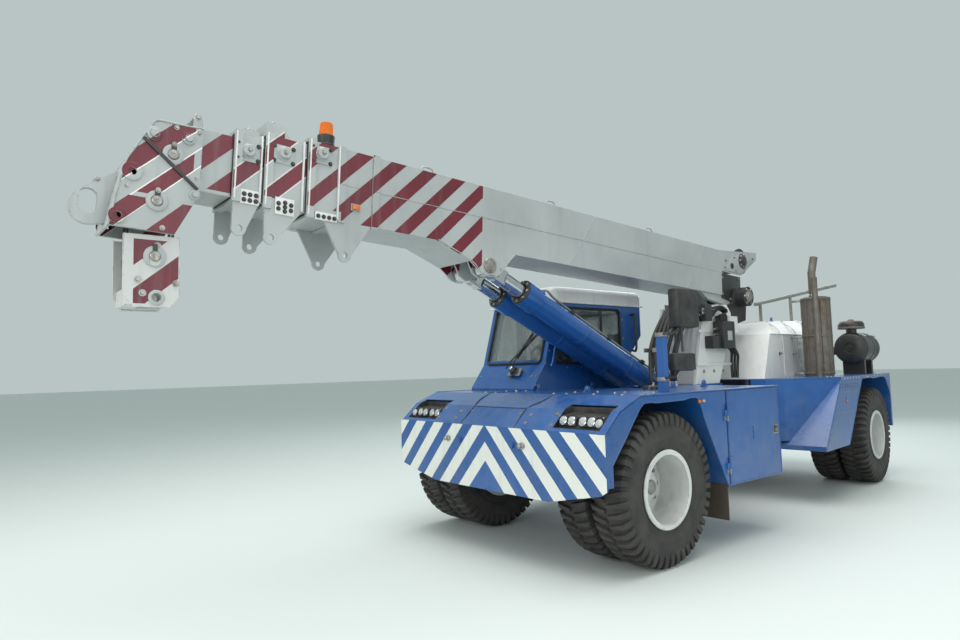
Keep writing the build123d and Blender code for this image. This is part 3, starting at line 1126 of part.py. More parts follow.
# ------------------------------------------------------------------ rear bumper weight with a tow jaw
WEIGHT_BACK_X = REAR_END - 160.0
WEIGHT_HALF = BODY_HALF - 235.0
WEIGHT_Z = (640.0, 1180.0)
JAW_X, JAW_HALF, JAW_R = REAR_END - 240.0, 70.0, 25.0
JAW_Z = ((760.0, 790.0), (850.0, 880.0))
with BuildPart() as rear_weight:
    add(block((WEIGHT_BACK_X, -WEIGHT_HALF, WEIGHT_Z[0]), (REAR_END, WEIGHT_HALF, WEIGHT_Z[1])))
    chamfer(rear_weight.edges().filter_by(Axis.Z).group_by(Axis.X)[0], 60)
    for low, high in JAW_Z:
        with BuildSketch(at_z(low)):
            with Locations(((JAW_X + WEIGHT_BACK_X) / 2, 0)):
                Rectangle(WEIGHT_BACK_X - JAW_X + 10, 2 * JAW_HALF)
            with Locations((JAW_X, 0)):
                Circle(JAW_HALF)
                Circle(JAW_R, mode=Mode.SUBTRACT)
        extrude(amount=high - low)

# ------------------------------------------------------------------ place everything and write it
turn_to_rest = Pos(STEER_X, 0, 0) * Rot(0, 0, STEER_REST) * Pos(-STEER_X, 0, 0)
front_pieces = {
    "front_frame": front_frame, "front_bumper": front_bumper, "front_deck": front_deck,
    "headlamps": headlamps, "front_fenders": front_fenders, "locker_box": locker_box,
    "locker_door": locker_door, "front_mudflaps": front_mudflaps, "boom_tower": boom_tower,
    "tower_head": tower_head, "tower_hoses": tower_hoses, "mirror_posts": mirror_posts, "mirrors": mirrors,
    "cab_shell": cab_shell, "cab_glass": cab_glass, "cab_roof": cab_roof, "cab_door": cab_door,
    "cab_door_glass": cab_door_glass, "driver_seat": driver_seat, "cab_controls": cab_controls,
    "winch_drum": winch_drum, "head_sheaves": head_sheaves,
    "hook_block": hook_block, "hook_sheaves": hook_sheaves, "rope_falls": rope_falls, "beacon": beacon,
    "lift_barrels": lift_barrels, "lift_rods": lift_rods}
rear_pieces = {
    "rear_frame": rear_frame, "rear_deck": rear_deck, "rear_sides": rear_sides,
    "engine_hood": engine_hood, "engine_door": engine_door, "engine_block": engine_block,
    "muffler": muffler, "air_cleaner": air_cleaner, "stowed_pole": stowed_pole, "rear_weight": rear_weight}
straight = {name: made.part for name, made in front_pieces.items()}
straight["front_axle"] = front_axle
straight.update({"boom_base": boom_base, "boom_section_2": boom_section_2, "boom_section_3": boom_section_3,
                 "boom_head": boom_head, "boom_nose": boom_nose.part, "boom_base_mouth": mouths[0].part,
                 "boom_section_2_mouth": mouths[1].part, "boom_section_3_mouth": mouths[2].part})
turned = {name: made.part for name, made in rear_pieces.items()}
turned["rear_axle"] = rear_axle
for (end, side_name), (tyres, rims) in wheels.items():
    home = straight if end == "front" else turned
    home[f"{end}_{side_name}_tyres"] = tyres
    home[f"{end}_{side_name}_rims"] = rims
pieces = dict(straight)
pieces.update({name: piece.moved(turn_to_rest) for name, piece in turned.items()})
boxes = [piece.bounding_box() for piece in pieces.values()]
ORIGIN_X = (min(box.min.X for box in boxes) + max(box.max.X for box in boxes)) / 2
ORIGIN_Y = (min(box.min.Y for box in boxes) + max(box.max.Y for box in boxes)) / 2
to_origin = Pos(-ORIGIN_X, -ORIGIN_Y, 0)

os.makedirs("parts", exist_ok=True)
for name, piece in pieces.items():
    placed = piece.moved(to_origin)
    placed.label = name
    export_step(placed, f"parts/{name}.step")
print(f"origin is at x {ORIGIN_X:.3f}, y {ORIGIN_Y:.3f} from the ground under the front axle")
print(f"{len(pieces)} pieces written")
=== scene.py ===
# %% [markdown]
# A pick-and-carry crane is a drivable crane with no outriggers: two short chassis joined by an upright
# pin, a boom that lies along the front one, and an engine on the back one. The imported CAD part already
# holds the true sizes and the joints, so this lesson never moves it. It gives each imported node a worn,
# believable finish, and adds the small pieces that a machine like this carries.

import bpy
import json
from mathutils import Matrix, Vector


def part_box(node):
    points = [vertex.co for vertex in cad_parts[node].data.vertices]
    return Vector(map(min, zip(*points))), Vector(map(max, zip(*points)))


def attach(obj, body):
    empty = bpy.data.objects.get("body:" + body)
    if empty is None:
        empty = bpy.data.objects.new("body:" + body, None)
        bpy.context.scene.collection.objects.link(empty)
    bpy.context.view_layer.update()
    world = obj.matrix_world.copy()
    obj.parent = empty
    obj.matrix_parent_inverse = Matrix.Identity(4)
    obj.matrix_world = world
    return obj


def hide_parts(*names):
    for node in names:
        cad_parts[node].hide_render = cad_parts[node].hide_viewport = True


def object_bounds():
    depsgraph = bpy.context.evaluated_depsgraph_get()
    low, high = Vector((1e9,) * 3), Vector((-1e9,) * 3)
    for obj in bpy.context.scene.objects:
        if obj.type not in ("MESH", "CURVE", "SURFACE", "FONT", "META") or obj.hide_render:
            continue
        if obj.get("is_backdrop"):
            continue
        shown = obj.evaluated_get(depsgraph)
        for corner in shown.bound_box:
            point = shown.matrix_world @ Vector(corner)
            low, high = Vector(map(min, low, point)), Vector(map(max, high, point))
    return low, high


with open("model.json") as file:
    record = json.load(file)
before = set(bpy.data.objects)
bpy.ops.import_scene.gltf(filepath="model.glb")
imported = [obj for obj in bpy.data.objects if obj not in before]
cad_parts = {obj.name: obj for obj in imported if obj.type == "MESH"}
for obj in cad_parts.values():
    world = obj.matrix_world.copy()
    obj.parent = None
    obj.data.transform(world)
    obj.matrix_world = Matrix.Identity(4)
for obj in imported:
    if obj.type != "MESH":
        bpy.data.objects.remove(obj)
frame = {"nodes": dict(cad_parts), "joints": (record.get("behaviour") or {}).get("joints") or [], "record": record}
cad_low, cad_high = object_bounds()

# %% Tools from Blender and Python
import json
import math

import bmesh
import bpy
from mathutils import Matrix, Vector

# %% [markdown]
# A crane is drawn in three little workshops. The front chassis stands on its axle, the rear chassis is
# drawn straight and then steered round the upright pin, and the boom is drawn level and then tilted at
# its heel pin. One matrix for each workshop carries a piece into place. Each matrix comes from the
# joints, so a piece fits without any trial and error.

# %% The three workshops: front chassis, rear chassis and boom
joint = {j["name"]: j for j in frame["joints"]}
axle = Vector(joint["front_left_spin"]["pos_m"])
steer_pin = Vector(joint["articulation_steer"]["pos_m"])
heel_pin = Vector(joint["boom_lift"]["pos_m"])
boom_way = Vector(joint["telescope_2"]["axis"]).normalized()
boom_up = Vector((-boom_way.z, 0, boom_way.x))
rear_axis = Vector(joint["rear_left_spin"]["axis"])
STEERED = math.atan2(-rear_axis.x, rear_axis.y)
AHEAD, LEFT, UP = (1, 0, 0), (0, 1, 0), (0, 0, 1)
FRONT = Matrix.Translation((axle.x, axle.y, 0))
REAR = (
    Matrix.Translation((steer_pin.x, steer_pin.y, 0))
    @ Matrix.Rotation(STEERED, 4, "Z")
    @ Matrix.Translation((axle.x - steer_pin.x, 0, 0))
)
BOOM = Matrix((
    (boom_way.x, 0, boom_up.x, heel_pin.x),
    (0, 1, 0, heel_pin.y),
    (boom_way.z, 0, boom_up.z, heel_pin.z),
    (0, 0, 0, 1),
))
print("rear chassis steered by", round(math.degrees(STEERED), 2), "degrees; boom starts at", heel_pin[:])

# %% [markdown]
# The camera stands low in front of the crane's left corner, with a wide lens. That is how a seller
# stands to get a long boom into one frame, and it makes the near tyre and the boom's nose look large.

# %% Camera
def stand(name, data):
    """Puts a mesh, a lamp or a camera into the scene as an object."""
    made = bpy.data.objects.new(name, data)
    bpy.context.scene.collection.objects.link(made)
    return made


bpy.context.scene.view_settings.view_transform = "Standard"
camera_data = bpy.data.cameras.new("camera")
camera_data.sensor_width = 36.0
camera_data.lens = 24.4
camera = stand("camera", camera_data)
bpy.context.scene.camera = camera
heading, climb, lean = 0.88655, 0.075093, -0.026985
look = Vector((-math.cos(heading) * math.cos(climb), -math.sin(heading) * math.cos(climb), math.sin(climb)))
side = look.cross(Vector((0, 0, 1))).normalized()
above = side.cross(look)
level = side * math.cos(lean) + above * math.sin(lean)
upright = above * math.cos(lean) - side * math.sin(lean)
camera.matrix_world = Matrix((
    (level.x, upright.x, -look.x, axle.x + 4.056),
    (level.y, upright.y, -look.y, axle.y + 4.084),
    (level.z, upright.z, -look.z, 1.4665),
    (0, 0, 0, 1),
))
print("camera at", [round(v, 2) for v in camera.matrix_world.translation])

# %% [markdown]
# A studio for machines is one pale floor and a few very large soft lamps. A big lamp over the nose
# rakes along the deck, a wide one fills the left side, and a cool sky above keeps the shadows open.
# Paint on a crane is mostly seen by what it reflects, so a large pale sky matters more than a bright lamp.

# %% Floor, sky and lamps
floor_mesh = bpy.data.meshes.new("studio_floor")
floor_mesh.from_pydata([(-90, -90, 0), (90, -90, 0), (90, 90, 0), (-90, 90, 0)], [], [(0, 1, 2, 3)])
floor = stand("studio_floor", floor_mesh)
floor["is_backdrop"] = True
floor_finish = bpy.data.materials.new("studio_floor")
floor_finish.use_nodes = True
floor_paint = floor_finish.node_tree.nodes["Principled BSDF"].inputs
floor_paint["Base Color"].default_value = (0.64, 0.68, 0.66, 1)
floor_paint["Roughness"].default_value = 0.6
floor_mesh.materials.append(floor_finish)
sky = bpy.data.worlds.new("studio_sky")
bpy.context.scene.world = sky
sky.use_nodes = True
sky_light = sky.node_tree.nodes["Background"].inputs
sky_light["Color"].default_value = (0.8, 0.93, 0.92, 1)
sky_light["Strength"].default_value = 0.6


def soft_lamp(name, place, target, width, depth, power, colour):
    """A rectangular lamp that looks at its target. Sizes are metres, power is watts."""
    data = bpy.data.lights.new(name, "AREA")
    data.shape = "RECTANGLE"
    data.size, data.size_y = width, depth
    data.energy = power
    data.color = colour
    lamp = stand(name, data)
    lamp.location = place
    lamp.rotation_euler = (Vector(target) - Vector(place)).to_track_quat("-Z", "Y").to_euler()


soft_lamp("top_lamp", (1.5, 1.0, 9.0), (0, 0, 1), 8, 8, 720, (1.0, 0.99, 0.97))
soft_lamp("left_lamp", (2.5, 9.5, 4.2), (0.2, 0, 1.3), 9, 5, 260, (0.97, 0.99, 1.0))
soft_lamp("nose_lamp", (10.0, 1.0, 3.6), (1, 0, 1.2), 7, 4, 290, (1.0, 1.0, 0.98))
soft_lamp("back_lamp", (-9.5, -4.0, 6.0), (-1, 0, 1.3), 8, 5, 320, (0.92, 0.97, 1.0))

# %% [markdown]
# A finish on a working machine is never one colour. Enamel fades where the sun hits it, streaks where
# rain runs down, chips on edges and gathers dust near the ground. Blender could load pictures of
# such paint, but nodes are better here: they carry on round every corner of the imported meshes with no
# unwrapping. Every pattern below reads Object coordinates, which on this crane are plain metres.

# %% Small node helpers: make a node, a cloud, a span, a mix
def add_node(tree, kind, inputs=None, **settings):
    """A node with its settings, and with each input either wired to a socket or set to a value."""
    made = tree.nodes.new(kind)
    for key, value in settings.items():
        setattr(made, key, value)
    for key, value in (inputs or {}).items():
        if isinstance(value, bpy.types.NodeSocket):
            tree.links.new(value, made.inputs[key])
        else:
            made.inputs[key].default_value = value
    return made


def node(tree, kind, inputs=None, **settings):
    return add_node(tree, "ShaderNode" + kind, inputs, **settings)


def xyz(vector):
    """The three numbers of a vector. A socket's id_data is the tree that it belongs to."""
    return node(vector.id_data, "SeparateXYZ", {0: vector}).outputs


def cloud(where, scale, detail=4.0, rough=0.6, stretch=None):
    """Soft noise from 0 to 1. A stretch under 1 along an axis draws it out into streaks."""
    if stretch:
        where = node(where.id_data, "VectorMath", {0: where, 1: stretch}, operation="MULTIPLY").outputs[0]
    sizes = {"Vector": where, "Scale": scale, "Detail": detail, "Roughness": rough}
    return node(where.id_data, "TexNoise", sizes).outputs[0]


def span(value, low, high, start=0.0, end=1.0):
    """Spreads the part of a value between low and high over start to end."""
    names = {"Value": value, "From Min": low, "From Max": high, "To Min": start, "To Max": end}
    return node(value.id_data, "MapRange", names, clamp=True).outputs[0]


def sums(operation, a, b=0.0, c=0.0):
    return node(a.id_data, "Math", {0: a, 1: b, 2: c}, operation=operation).outputs[0]


def plus(a, b):
    return sums("ADD", a, b)


def times(a, b):
    return sums("MULTIPLY", a, b)


def mix(amount, a, b):
    """Colour a where the amount is 0, colour b where it is 1. Either can be a socket or three numbers."""
    a, b = (v if isinstance(v, bpy.types.NodeSocket) else (*v, 1.0) for v in (a, b))
    return node(amount.id_data, "Mix", {0: amount, 6: a, 7: b}, data_type="RGBA").outputs[2]


def band(value, low, high):
    """1 where the value lies between low and high, 0 elsewhere."""
    return sums("COMPARE", value, (low + high) / 2, (high - low) / 2)


def along(where, way, start=(0, 0, 0)):
    """How far a point lies from start in one direction, in metres."""
    reach = node(where.id_data, "VectorMath", {0: where, 1: tuple(way)}, operation="DOT_PRODUCT")
    return sums("SUBTRACT", reach.outputs["Value"], Vector(way).dot(Vector(start)))


def both(*masks):
    """1 only where every mask is 1."""
    result = masks[0]
    for mask in masks[1:]:
        result = times(result, mask)
    return result


def either(*masks):
    """1 where any of the masks is 1."""
    result = masks[0]
    for mask in masks[1:]:
        result = sums("MAXIMUM", result, mask)
    return result


def new_finish(name):
    """A material, its shader, the place on the piece in metres, and the way each face looks."""
    material = bpy.data.materials.new(name)
    material.use_nodes = True
    tree = material.node_tree
    spots = tree.nodes.new("ShaderNodeTexCoord")
    return material, tree.nodes["Principled BSDF"], spots.outputs["Object"], spots.outputs["Normal"]


def wire(shader, **inputs):
    """Wires a shader's inputs to sockets, or sets them to numbers. Underscores stand for spaces."""
    for name, value in inputs.items():
        socket = shader.inputs[name.replace("_", " ")]
        if isinstance(value, bpy.types.NodeSocket):
            shader.id_data.links.new(value, socket)
        else:
            socket.default_value = value


def bump(shader, height, strength, distance):
    made = node(shader.id_data, "Bump", {"Height": height, "Strength": strength, "Distance": distance})
    wire(shader, Normal=made.outputs[0])


print("node helpers ready")

# %% [markdown]
# Enamel is built in layers, from the steel outwards: the tone, a pattern if the piece is striped, fade
# and rain streaks, dust that is thickest near the ground and on ledges, and last the chips that show
# dark primer on the edges. A Bevel node finds the edges: its rounded normal differs from the true one
# only near a corner. Roughness follows the same masks, because dust is dull and fresh paint is not.

# %% Enamel for every painted steel part
EDGE_RADIUS = 0.007


def edge_mask(tree):
    """1 on edges, where paint wears first."""
    soft = node(tree, "Bevel", {"Radius": EDGE_RADIUS}, samples=4).outputs[0]
    true = node(tree, "NewGeometry").outputs["Normal"]
    same = node(tree, "VectorMath", {0: soft, 1: true}, operation="DOT_PRODUCT").outputs["Value"]
    return span(same, 0.9, 0.995, 1.0, 0.0)


def enamel(
        name, tone, dull=0.3, dust=0.35, chips=0.6, coat=0.25, grime=0.35, pattern=None,
        primer=(0.05, 0.045, 0.04)):
    material, shader, where, facing = new_finish(name)
    broad = cloud(where, 1.1, 3.0)
    dark, light = [c * 0.84 for c in tone], [min(1.0, c * 1.1 + 0.004) for c in tone]
    colour = mix(span(broad, 0.32, 0.68), dark, light)
    if pattern:
        colour = pattern(where, facing, colour)
    turned = xyz(facing)
    place = xyz(where)
    rain = cloud(where, 5.0, 5.0, 0.62, (2.2, 2.2, 0.22))
    streak = span(rain, 0.52, 0.8, 0.0, grime)
    colour = mix(streak, colour, [c * 0.45 + 0.03 for c in tone])
    ledge = span(turned[2], 0.55, 0.98, 0.0, 0.3)
    low = span(place[2], 0.15, 1.35, 0.62, 0.04)
    speck = span(cloud(where, 7.5, 8.0, 0.66), 0.36, 0.72)
    dusty = both(plus(ledge, low), speck)
    dusty = times(dusty, dust * 1.5)
    colour = mix(dusty, colour, (0.34, 0.31, 0.27))
    worn = both(edge_mask(where.id_data), span(cloud(where, 26.0, 6.0, 0.7), 0.5, 0.6))
    flake = span(cloud(where, 19.0, 7.0, 0.72), 0.735, 0.76)
    chip = times(either(worn, flake), chips)
    colour = mix(chip, colour, primer)
    gloss = plus(span(broad, 0.2, 0.8, dull - 0.06, dull + 0.1), times(dusty, 0.45))
    gloss = plus(gloss, times(either(chip, streak), 0.3))
    wire(shader, Base_Color=colour, Roughness=gloss, Coat_Weight=coat, Coat_Roughness=0.12)
    wave = cloud(where, 3.2, 2.0)
    peel = cloud(where, 140.0, 3.0)
    height = plus(times(wave, 0.9), times(peel, 0.1))
    height = sums("SUBTRACT", height, times(chip, 0.12))
    bump(shader, height, 0.35, 0.004)
    return material


print("enamel recipe ready")

# %% [markdown]
# The boom wears slanted red warning stripes on its sides. They are masked and sprayed on, so they have
# crisp edges, all lean the same way, and keep to the front of the boom. The stripes are cut with one
# number: the distance along the boom plus the height above its heel pin. Where that sum falls inside a
# band, the paint is red. A band is only asked for on faces that look sideways.

# %% Warning stripes on the boom
def boom_rule(where, facing):
    """Distance along the boom, height above its centre line, their sum, and a mask of its side faces."""
    u = along(where, boom_way, heel_pin)
    w = along(where, boom_up, heel_pin)
    ragged = span(cloud(where, 60.0, 2.0), 0.0, 1.0, -0.002, 0.002)
    slant = plus(plus(u, w), ragged)
    sideways = sums("ABSOLUTE", xyz(facing)[1])
    return u, w, slant, sums("GREATER_THAN", sideways, 0.7)


def more(value, limit):
    return sums("GREATER_THAN", value, limit)


def less(value, limit):
    return sums("LESS_THAN", value, limit)


def faded_red(where):
    return mix(span(cloud(where, 2.6, 5.0), 0.35, 0.7), (0.15, 0.006, 0.02), (0.095, 0.004, 0.012))


STRIPE_PITCH, STRIPE_WIDTH = 0.268, 0.125
FIRST_STRIPE = 3.631
RAM_EYE, FULL_DEPTH, SLEEVE = 3.76, 4.25, 4.98


def base_stripes(where, facing, colour):
    """Stripes cover the whole height at the ram's eye, and only the top of the tube further on."""
    u, w, slant, sides = boom_rule(where, facing)
    turns = sums("DIVIDE", sums("SUBTRACT", slant, FIRST_STRIPE), STRIPE_PITCH)
    red = less(sums("FRACT", turns), STRIPE_WIDTH / STRIPE_PITCH)
    ram_field = both(band(u, RAM_EYE, FULL_DEPTH), more(w, -0.19))
    middle_field = both(band(u, FULL_DEPTH, SLEEVE), more(w, 0.0))
    nose_field = both(more(u, SLEEVE), more(w, 0.06))
    red = both(red, sides, either(ram_field, middle_field, nose_field))
    crease = both(band(w, 0.2475, 0.2525), sides, less(u, SLEEVE))
    colour = mix(crease, colour, (0.22, 0.22, 0.23))
    return mix(red, colour, faded_red(where))


def section_stripes(*bands, floor_w=0.07):
    def draw(where, facing, colour):
        u, w, slant, sides = boom_rule(where, facing)
        red = either(*[band(slant, low, high) for low, high in bands])
        red = both(red, sides, more(w, floor_w), more(u, 5.2))
        frame_line = either(*[band(slant, edge - 0.012, edge + 0.012) for pair in bands for edge in pair])
        frame_line = both(frame_line, sides, more(w, floor_w), more(u, 5.2))
        colour = mix(frame_line, colour, (0.62, 0.62, 0.6))
        return mix(red, colour, faded_red(where))
    return draw


def nose_stripes(where, facing, colour):
    u, w, slant, sides = boom_rule(where, facing)
    outside = sums("ABSOLUTE", along(where, LEFT, heel_pin))
    sides = both(sides, more(outside, 0.14), less(u, 6.33))
    tube = both(band(u, 5.6, 5.86), more(w, 0.055))
    tube = both(tube, either(band(slant, 6.02, 6.158), less(slant, 5.877)))
    upper = either(band(slant, 6.045, 6.148), band(slant, 6.28, 6.413))
    upper = both(upper, more(u, 5.905), more(w, -0.045))
    lower = either(band(slant, 6.04, 6.16), less(slant, 5.88))
    lower = both(lower, more(u, 5.86), less(w, -0.07))
    red = both(either(tube, upper, lower), sides)
    outline = either(band(slant, 6.036, 6.045), band(slant, 6.148, 6.157), band(slant, 6.271, 6.28))
    outline = both(outline, more(u, 5.86), sides)
    colour = mix(outline, colour, (0.8, 0.8, 0.78))
    return mix(red, colour, faded_red(where))


def hook_stripes(where, facing, colour):
    """Three slanted red fields on the hook block's cheeks, cut with distance forward minus height."""
    x = along(where, AHEAD, axle)
    z = along(where, UP)
    lean_line = plus(z, times(x, 0.86))
    sideways = sums("ABSOLUTE", xyz(facing)[1])
    field = either(band(lean_line, 4.915, 5.3), band(lean_line, 4.655, 4.785))
    outside = more(sums("ABSOLUTE", along(where, LEFT, axle)), 0.148)
    inside_margin = both(band(x, 3.058, 3.29), band(z, 1.876, 2.235))
    field = both(field, outside, inside_margin, more(sideways, 0.7))
    return mix(field, colour, faded_red(where))


FIRST_CHEVRON, CHEVRON_PITCH = 0.735, 0.287


def bumper_chevrons(where, facing, colour):
    """White inverted V bands that share one centre line, on the faces that look forward."""
    y = sums("ABSOLUTE", along(where, LEFT, axle))
    z = along(where, UP)
    sum_up = plus(z, times(y, 1.05))
    sum_up = plus(sum_up, span(cloud(where, 50.0, 2.0), 0, 1, -0.003, 0.003))
    turns = sums("DIVIDE", sums("SUBTRACT", sum_up, FIRST_CHEVRON), CHEVRON_PITCH)
    white = less(sums("FRACT", turns), 0.52)
    ahead = more(xyz(facing)[0], 0.6)
    white = both(white, more(sum_up, FIRST_CHEVRON), ahead)
    return mix(white, colour, (0.74, 0.75, 0.7))


print("stripe recipes ready")

# %% [markdown]
# Most of the crane is one of five enamels. The blue of the deck, the boom's pale grey, the hood's white,
# the winch's black and the frame's dark blue-black differ only in tone, gloss and how dirty they are,
# so one recipe makes them all. A striped part gets the same recipe with a pattern under its dirt.

# %% Enamels
BLUE = (0.005, 0.08, 0.29)
GREY = (0.365, 0.385, 0.382)


def arch_painted_shade(where, facing, colour):
    """Painted shade in the wheel arches: faces that look inwards, down or back are painted near black."""
    way = xyz(facing)
    across = less(sums("ABSOLUTE", way[1]), 0.6)
    shaded = both(across, less(way[2], 0.35), less(way[0], 0.5))
    return mix(shaded, colour, (0.012, 0.012, 0.013))


def tube_enamel(name, pattern):
    return enamel(name, GREY, 0.36, 0.1, 0.75, 0.12, 0.26, pattern)


paints = {
    "blue": enamel("blue_enamel", BLUE, dull=0.27, dust=0.32, chips=0.55, coat=0.35, grime=0.3),
    # The fender enamel carries painted shade: arch faces that look inwards, down or back are near black.
    "arches": enamel("fender_enamel", BLUE, 0.27, 0.32, 0.55, 0.35, 0.3, arch_painted_shade),
    "grey": enamel("boom_grey_enamel", GREY, dull=0.36, dust=0.1, chips=0.75, coat=0.12, grime=0.3),
    "base_striped": tube_enamel("boom_base_enamel", base_stripes),
    "second_striped": tube_enamel("second_section_enamel", section_stripes((5.48, 5.6), (5.762, 5.885))),
    "third_striped": tube_enamel("third_section_enamel", section_stripes((5.755, 5.878), floor_w=0.085)),
    "nose_striped": enamel("boom_nose_enamel", GREY, 0.38, 0.16, 0.9, 0.1, 0.42, nose_stripes),
    "hook_striped": enamel("hook_block_enamel", (0.5, 0.5, 0.49), 0.38, 0.16, 0.95, 0.1, 0.4, hook_stripes),
    "chevron": enamel("bumper_enamel", BLUE, 0.27, 0.22, 0.6, 0.3, 0.18, bumper_chevrons),
    "white": enamel(
        "white_enamel", (0.66, 0.66, 0.645), 0.33, 0.3, 0.5, 0.25, 0.3, primer=(0.1, 0.075, 0.05)),
    "rim": enamel("rim_enamel", (0.6, 0.61, 0.6), 0.42, 0.42, 0.8, 0.05, 0.55, primer=(0.1, 0.055, 0.03)),
    "black": enamel(
        "black_enamel", (0.018, 0.018, 0.019), 0.4, 0.45, 0.6, 0.1, 0.5, primer=(0.16, 0.12, 0.09)),
    "frame": enamel(
        "frame_enamel", (0.02, 0.03, 0.055), 0.48, 0.75, 0.7, 0.05, 0.6, primer=(0.12, 0.08, 0.05)),
}
print("enamels:", ", ".join(paints))

# %% [markdown]
# Rubber, glass, bare metal and cloth answer light in quite different ways, so each has its own short
# recipe. Rubber is nearly black and very rough, with pale dust settled in it. Worn steel is bright
# metal with brown patches. The side windows are tinted and dim, and the windscreen is clearer, so the
# driver's seat and wheel show through it. The windscreen's paler colour is a painted reflection of the
# pale sky.

# %% Rubber, glass, metals, plastics and cloth
def rubber(name, tone, dust=0.5, rough=0.86, fine=90.0, height=0.0015):
    material, shader, where, facing = new_finish(name)
    film = span(cloud(where, 6.0, 7.0, 0.66), 0.34, 0.74, 0.0, dust)
    fine_cloud = cloud(where, fine, 4.0, 0.7)
    colour = mix(film, tone, (0.105, 0.094, 0.08))
    colour = mix(span(fine_cloud, 0.55, 0.75, 0.0, 0.35), colour, [c * 0.4 for c in tone])
    wire(shader, Base_Color=colour, Roughness=span(film, 0.0, 1.0, rough - 0.16, rough + 0.1))
    bump(shader, fine_cloud, 0.5, height)
    return material


def metal(name, tone, stain, rough=0.32, patches=0.5, grain=None, shine=1.0, fine=60.0):
    material, shader, where, facing = new_finish(name)
    blotch = cloud(where, 9.0, 7.0, 0.7)
    lines = cloud(where, fine, 5.0, 0.7, grain)
    rust = span(blotch, 0.62 - 0.24 * patches, 0.8 - 0.12 * patches)
    colour = mix(rust, mix(span(lines, 0.3, 0.7), [c * 0.82 for c in tone], tone), stain)
    rough_now = plus(span(lines, 0.25, 0.75, rough - 0.08, rough + 0.1), times(rust, 0.4))
    wire(shader, Base_Color=colour, Roughness=rough_now, Metallic=span(rust, 0.0, 1.0, shine, shine * 0.35))
    bump(shader, plus(lines, times(rust, 0.8)), 0.35, 0.0012)
    return material


def moulded(name, tone, rough=0.42, dust=0.3, grain=220.0, clear=0.0):
    """Moulded plastic: a fine leather-like grain, a dusty film and, for lenses, some see-through."""
    material, shader, where, facing = new_finish(name)
    film = span(cloud(where, 8.0, 6.0, 0.65), 0.38, 0.75, 0.0, dust)
    pebble = node(where.id_data, "TexVoronoi", {"Vector": where, "Scale": grain}).outputs["Distance"]
    colour = mix(
        span(cloud(where, 2.5), 0.3, 0.7), [c * 0.85 for c in tone], [min(1, c * 1.15) for c in tone])
    colour = mix(film, colour, (0.3, 0.28, 0.25))
    wire(
        shader, Base_Color=colour,
        Roughness=plus(span(pebble, 0.0, 0.7, rough - 0.04, rough + 0.06), times(film, 0.4)),
        Transmission_Weight=clear)
    bump(shader, pebble, 0.25, 0.0006)
    return material


def window_glass(name, tone=(0.2, 0.24, 0.235), clear_screen_and_reflection_tone=(0.62, 0.7, 0.68), haze=0.25):
    """Tinted side windows and a paler windscreen, told apart by the way each face looks. The windscreen's pale
    tone is a painted reflection of the pale sky, on glass that is also clearer.
    """
    material, shader, where, facing = new_finish(name)
    film = span(cloud(where, 3.4, 7.0, 0.64), 0.4, 0.78, 0.0, haze)
    wiped = span(cloud(where, 7.0, 3.0, 0.5, (1, 1, 0.3)), 0.45, 0.75, 0.0, haze * 0.3)
    smear = plus(film, wiped)
    # Painted reflection: faces that look forward take the pale windscreen tone, which stands for the sky reflected
    # in it.
    ahead = span(xyz(facing)[0], 0.5, 0.8)
    colour = mix(smear, mix(ahead, tone, clear_screen_and_reflection_tone), (0.2, 0.21, 0.2))
    wire(
        shader, Base_Color=colour, Alpha=span(ahead, 0, 1, 0.72, 0.45),
        Roughness=plus(times(smear, 0.5), 0.03))
    wire(shader, Transmission_Weight=0.75, Coat_Weight=0.4, Coat_Roughness=0.03)
    bump(shader, cloud(where, 1.6, 2.0), 0.12, 0.004)
    return material


def seat_cloth(name, tone, thread=420.0):
    """Plain woven seat cloth: warp and weft cross at right angles, with wear where the driver sits."""
    material, shader, where, facing = new_finish(name)
    place = xyz(where)
    rise = plus(place[0], place[2])
    warp = sums("SINE", times(place[1], thread * 3.0))
    weft = sums("SINE", times(rise, thread * 3.0))
    weave = times(warp, weft)
    colour = mix(span(weave, -1.0, 1.0), [c * 0.7 for c in tone], [c * 1.25 for c in tone])
    colour = mix(span(cloud(where, 7.0, 5.0), 0.45, 0.75, 0.0, 0.5), colour, (0.1, 0.095, 0.085))
    wire(shader, Base_Color=colour, Roughness=span(weave, -1.0, 1.0, 0.95, 0.78), Sheen_Weight=0.25)
    bump(shader, weave, 0.5, 0.0008)
    return material


def rope_steel(name):
    """Galvanised wire rope: strands that wind round the falls show as slanted bands, with painted shade in the
    near-black grooves between them.
    """
    material, shader, where, facing = new_finish(name)
    place = xyz(where)
    slope = plus(times(place[2], 1.0), times(plus(place[0], place[1]), 1.1))
    strand_relief_and_groove_shade = sums("SINE", times(slope, 520.0))
    grease = span(cloud(where, 30.0, 5.0), 0.35, 0.7)
    light = mix(grease, (0.34, 0.33, 0.31), (0.07, 0.06, 0.05))
    # Painted shade: the grooves between strands are near black; the crowns keep the galvanised tone, greased in
    # patches.
    colour = mix(span(strand_relief_and_groove_shade, -0.9, 0.6), (0.025, 0.022, 0.02), light)
    wire(
        shader, Base_Color=colour, Roughness=span(grease, 0, 1, 0.38, 0.62),
        Metallic=span(grease, 0, 1, 0.9, 0.5))
    bump(shader, strand_relief_and_groove_shade, 0.9, 0.0015)
    return material


